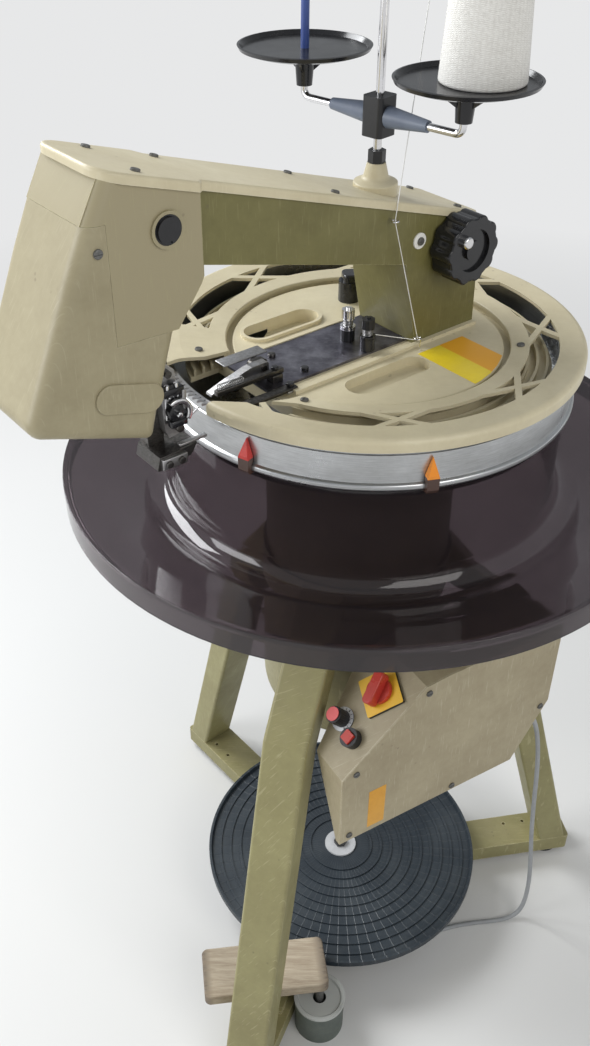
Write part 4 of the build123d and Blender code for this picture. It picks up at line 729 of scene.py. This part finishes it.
def makeClamp(spec):
    bpy.ops.object.select_all(action="DESELECT")
    bpy.ops.mesh.primitive_plane_add(size=1.0)
    made = bpy.context.active_object
    made.name = spec["name"]
    made.scale = (spec["section"][0] * mm, spec["section"][1] * mm, 1.0)
    made.rotation_euler = (math.radians(90), 0, 0)
    made.location = (spec["radius"] * mm, 0, 0)
    bpy.ops.object.transform_apply(location=True, rotation=True, scale=True)
    addModifier(made, "SCREW", angle=math.radians(spec["turn"]), iterations=1, steps=spec["steps"],
                render_steps=spec["steps"], axis="Z")
    bpy.ops.object.mode_set(mode="EDIT")
    bpy.ops.mesh.select_all(action="DESELECT")
    bpy.ops.mesh.select_mode(type="EDGE")
    bpy.ops.mesh.select_non_manifold()
    bpy.ops.mesh.edge_face_add()
    bpy.ops.mesh.select_all(action="SELECT")
    bpy.ops.mesh.normals_make_consistent(inside=False)
    bpy.ops.object.mode_set(mode="OBJECT")
    addModifier(made, "BEVEL", width=spec["edge"] * mm, segments=3, limit_method="ANGLE",
                angle_limit=math.radians(50))
    start = Matrix.Rotation(math.radians(spec["from"]), 4, "Z")
    settle(made, armMatrix(*spec["place"]) @ sideways @ start, chromeFinish, "needle_body")


makeClamp(clampShape)

# Coil springs: a small circle turned and raised round its own axis
tensionSpring = {"radius": 5.6, "wire": 0.55, "turns": 5, "rise": 1.5}
springs = [dict(tensionSpring, name="tensionSpringOne", place=(-25, 7, 1047.2)),
           dict(tensionSpring, name="tensionSpringTwo", place=(-24, -26, 1047.2))]
lyingSpring = {"name": "slideSpring", "place": (-226, -19, 1046), "radius": 3.2, "wire": 0.5, "turns": 14,
               "rise": 2.2}


def makeSpring(spec, matrix):
    bpy.ops.object.select_all(action="DESELECT")
    bpy.ops.mesh.primitive_circle_add(vertices=8, radius=spec["wire"] * mm, rotation=(math.radians(90), 0, 0))
    made = bpy.context.active_object
    made.name = spec["name"]
    made.location = (spec["radius"] * mm, 0, 0)
    bpy.ops.object.transform_apply(location=True, rotation=True, scale=True)
    addModifier(made, "SCREW", angle=2 * math.pi, screw_offset=spec["rise"] * mm, iterations=spec["turns"],
                steps=20, render_steps=20, axis="Z")
    settle(made, matrix, steelFinish, "machine")


for spec in springs:
    makeSpring(spec, armMatrix(*spec["place"]))
makeSpring(lyingSpring, armMatrix(*lyingSpring["place"]) @ lengthways)
print("small pieces ready")


# Free cords: their routes from the dial's axis, in millimetres
def fromAxis(route):
    return [(x * mm + dialAxis[0], y * mm + dialAxis[1], z * mm) for x, y, z in route]


def makeCord(name, route, radius, material):
    data = bpy.data.curves.new(name, "CURVE")
    data.dimensions = "3D"
    data.bevel_depth = radius
    data.bevel_resolution = 3
    data.resolution_u = 6
    data.use_fill_caps = True
    line = data.splines.new("NURBS")
    places = fromAxis(route)
    line.points.add(len(places) - 1)
    for spot, place in zip(line.points, places):
        spot.co = (*place, 1.0)
    line.order_u = 3
    line.use_endpoint_u = True
    made = bpy.data.objects.new(name, data)
    bpy.context.scene.collection.objects.link(made)
    data.materials.append(material)
    return made, places[0]


threadRoute = [
    (81.44, -47.59, 1497.6), (75.68, -70.14, 1637.7), (75.44, -71.09, 1643.6), (75.44, -65.09, 1643.0),
    (75.31, -60.09, 1639.7), (71.13, 100.0, 1533.8), (71.0, 105.0, 1530.5), (70.16, 102.46, 1525.1),
    (17.98, -55.13, 1192.4), (17.14, -57.67, 1187.0), (18.59, -56.56, 1181.3), (53.82, -29.62, 1042.5),
    (55.27, -28.51, 1036.8), (49.35, -28.72, 1037.8), (5.90, -30.29, 1044.9)]
thread, threadExit = makeCord("sewingThread", threadRoute, 0.5 * mm, threadFinish)
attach(thread, "machine")
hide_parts("sewing_thread")

cableRoute = [
    (237.06, -65.21, 473.81), (257.84, -53.21, 457.81), (276, -50, 420), (285, -52, 372), (290, -56, 318),
    (293, -60, 260), (297, -64, 202), (303, -68, 144), (308, -73, 90), (308, -80, 44), (300, -89, 14),
    (282, -97, 3.6), (254, -103, 3.6), (221, -106, 3.6), (187, -112, 3.6), (154, -122, 3.6)]
coil = {"centre": (106.0, -88.0), "outer": 47.3, "inner": 32.6, "floor": 3.6, "layer": 7.2, "perTurn": 18,
        "start": -72.7,
        "tail": [(153, -97, 20), (149, -112, 25), (138, -125, 31), (127, -128, 34), (118, -128, 34)]}


# Turns of the put-away cable: in on the floor, up, out again, up, and most of a turn round the outside
def coilRoute():
    legs = [(2.0, "outer", "inner", 0, 0), (0.5, "inner", "inner", 0, 1), (2.0, "inner", "outer", 1, 1),
            (0.5, "outer", "outer", 1, 2), (1.0 + coil["start"] / 360.0, "outer", "outer", 2, 2)]
    middleX, middleY = coil["centre"]
    route = []
    angle = coil["start"]
    for turns, first, last, low, high in legs:
        count = round(turns * coil["perTurn"])
        for step in range(count):
            share = step / count
            way = math.radians(angle - 360.0 * turns * share)
            radius = coil[first] + share * (coil[last] - coil[first])
            level = coil["floor"] + coil["layer"] * (low + share * (high - low))
            route.append((middleX + radius * math.cos(way), middleY + radius * math.sin(way), level))
        angle -= 360.0 * turns
    return route + coil["tail"]


cable, cableExit = makeCord("mainsCable", cableRoute + coilRoute(), 3.5 * mm, cableRubber)
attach(cable, "machine")
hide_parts("mains_cable", "cable_coil")
print("cords ready")


# Studio: pale floor, soft lamps, pale background
studio = {"floorSize": 80.0, "floor": (0.68, 0.675, 0.66), "floorRough": 0.9, "back": (0.80, 0.805, 0.81),
          "sky": (0.92, 0.96, 1.0), "ambient": 0.42, "fadeFrom": 0.9, "fadeTo": 3.2, "aim": (0, 0, 0.8)}
lamps = [
    {"name": "windowLamp", "place": (-1.9, 1.3, 2.5), "size": 1.5, "power": 86.0, "color": (0.96, 0.98, 1.0)},
    {"name": "frontLamp", "place": (1.5, -2.2, 2.6), "size": 2.0, "power": 36.0, "color": (1.0, 0.98, 0.95)},
    {"name": "sideLamp", "place": (-2.4, -0.75, 1.7), "size": 1.3, "power": 34.0, "color": (0.97, 0.98, 1.0)},
]


def makeFloor():
    bpy.ops.object.select_all(action="DESELECT")
    bpy.ops.mesh.primitive_plane_add(size=studio["floorSize"], location=(0, 0, 0))
    floor = bpy.context.active_object
    floor.name = "studioFloor"
    material, tree, shader = newMaterial("studioFloor")
    put(tree, shader.inputs["Base Color"], studio["floor"])
    shader.inputs["Roughness"].default_value = studio["floorRough"]
    away = addNode(tree, "ShaderNodeVectorMath", {0: axisPlace(tree)}, operation="LENGTH").outputs["Value"]
    fade = span(tree, away, studio["fadeFrom"], studio["fadeTo"])
    glow = addNode(tree, "ShaderNodeEmission", {0: studio["back"], 1: 1.0})
    blend = addNode(tree, "ShaderNodeMixShader", {0: fade, 1: shader.outputs[0], 2: glow.outputs[0]})
    tree.links.new(blend.outputs[0], tree.nodes["Material Output"].inputs[0])
    floor.data.materials.append(material)


def makeLamp(lamp):
    data = bpy.data.lights.new(lamp["name"], "AREA")
    data.energy = lamp["power"]
    data.size = lamp["size"]
    data.color = lamp["color"]
    made = bpy.data.objects.new(lamp["name"], data)
    bpy.context.scene.collection.objects.link(made)
    made.location = lamp["place"]
    away = Vector(studio["aim"]) - Vector(lamp["place"])
    made.rotation_euler = away.to_track_quat("-Z", "Y").to_euler()


# The world lights softly, and only the camera and rays through the bowl see the pale background
def makeWorld():
    world = bpy.data.worlds.new("studioWorld")
    bpy.context.scene.world = world
    world.use_nodes = True
    tree = world.node_tree
    tree.nodes.clear()
    path = addNode(tree, "ShaderNodeLightPath")
    seen = maths(tree, "MAXIMUM", path.outputs["Is Camera Ray"], path.outputs["Is Transmission Ray"])
    soft = addNode(tree, "ShaderNodeBackground", {0: studio["sky"], 1: studio["ambient"]})
    pale = addNode(tree, "ShaderNodeBackground", {0: studio["back"], 1: 1.0})
    mix = addNode(tree, "ShaderNodeMixShader", {0: seen, 1: soft.outputs[0], 2: pale.outputs[0]})
    out = addNode(tree, "ShaderNodeOutputWorld")
    tree.links.new(mix.outputs[0], out.inputs[0])


makeFloor()
for lamp in lamps:
    makeLamp(lamp)
makeWorld()
bpy.context.scene.view_settings.view_transform = "Standard"
print("studio ready")
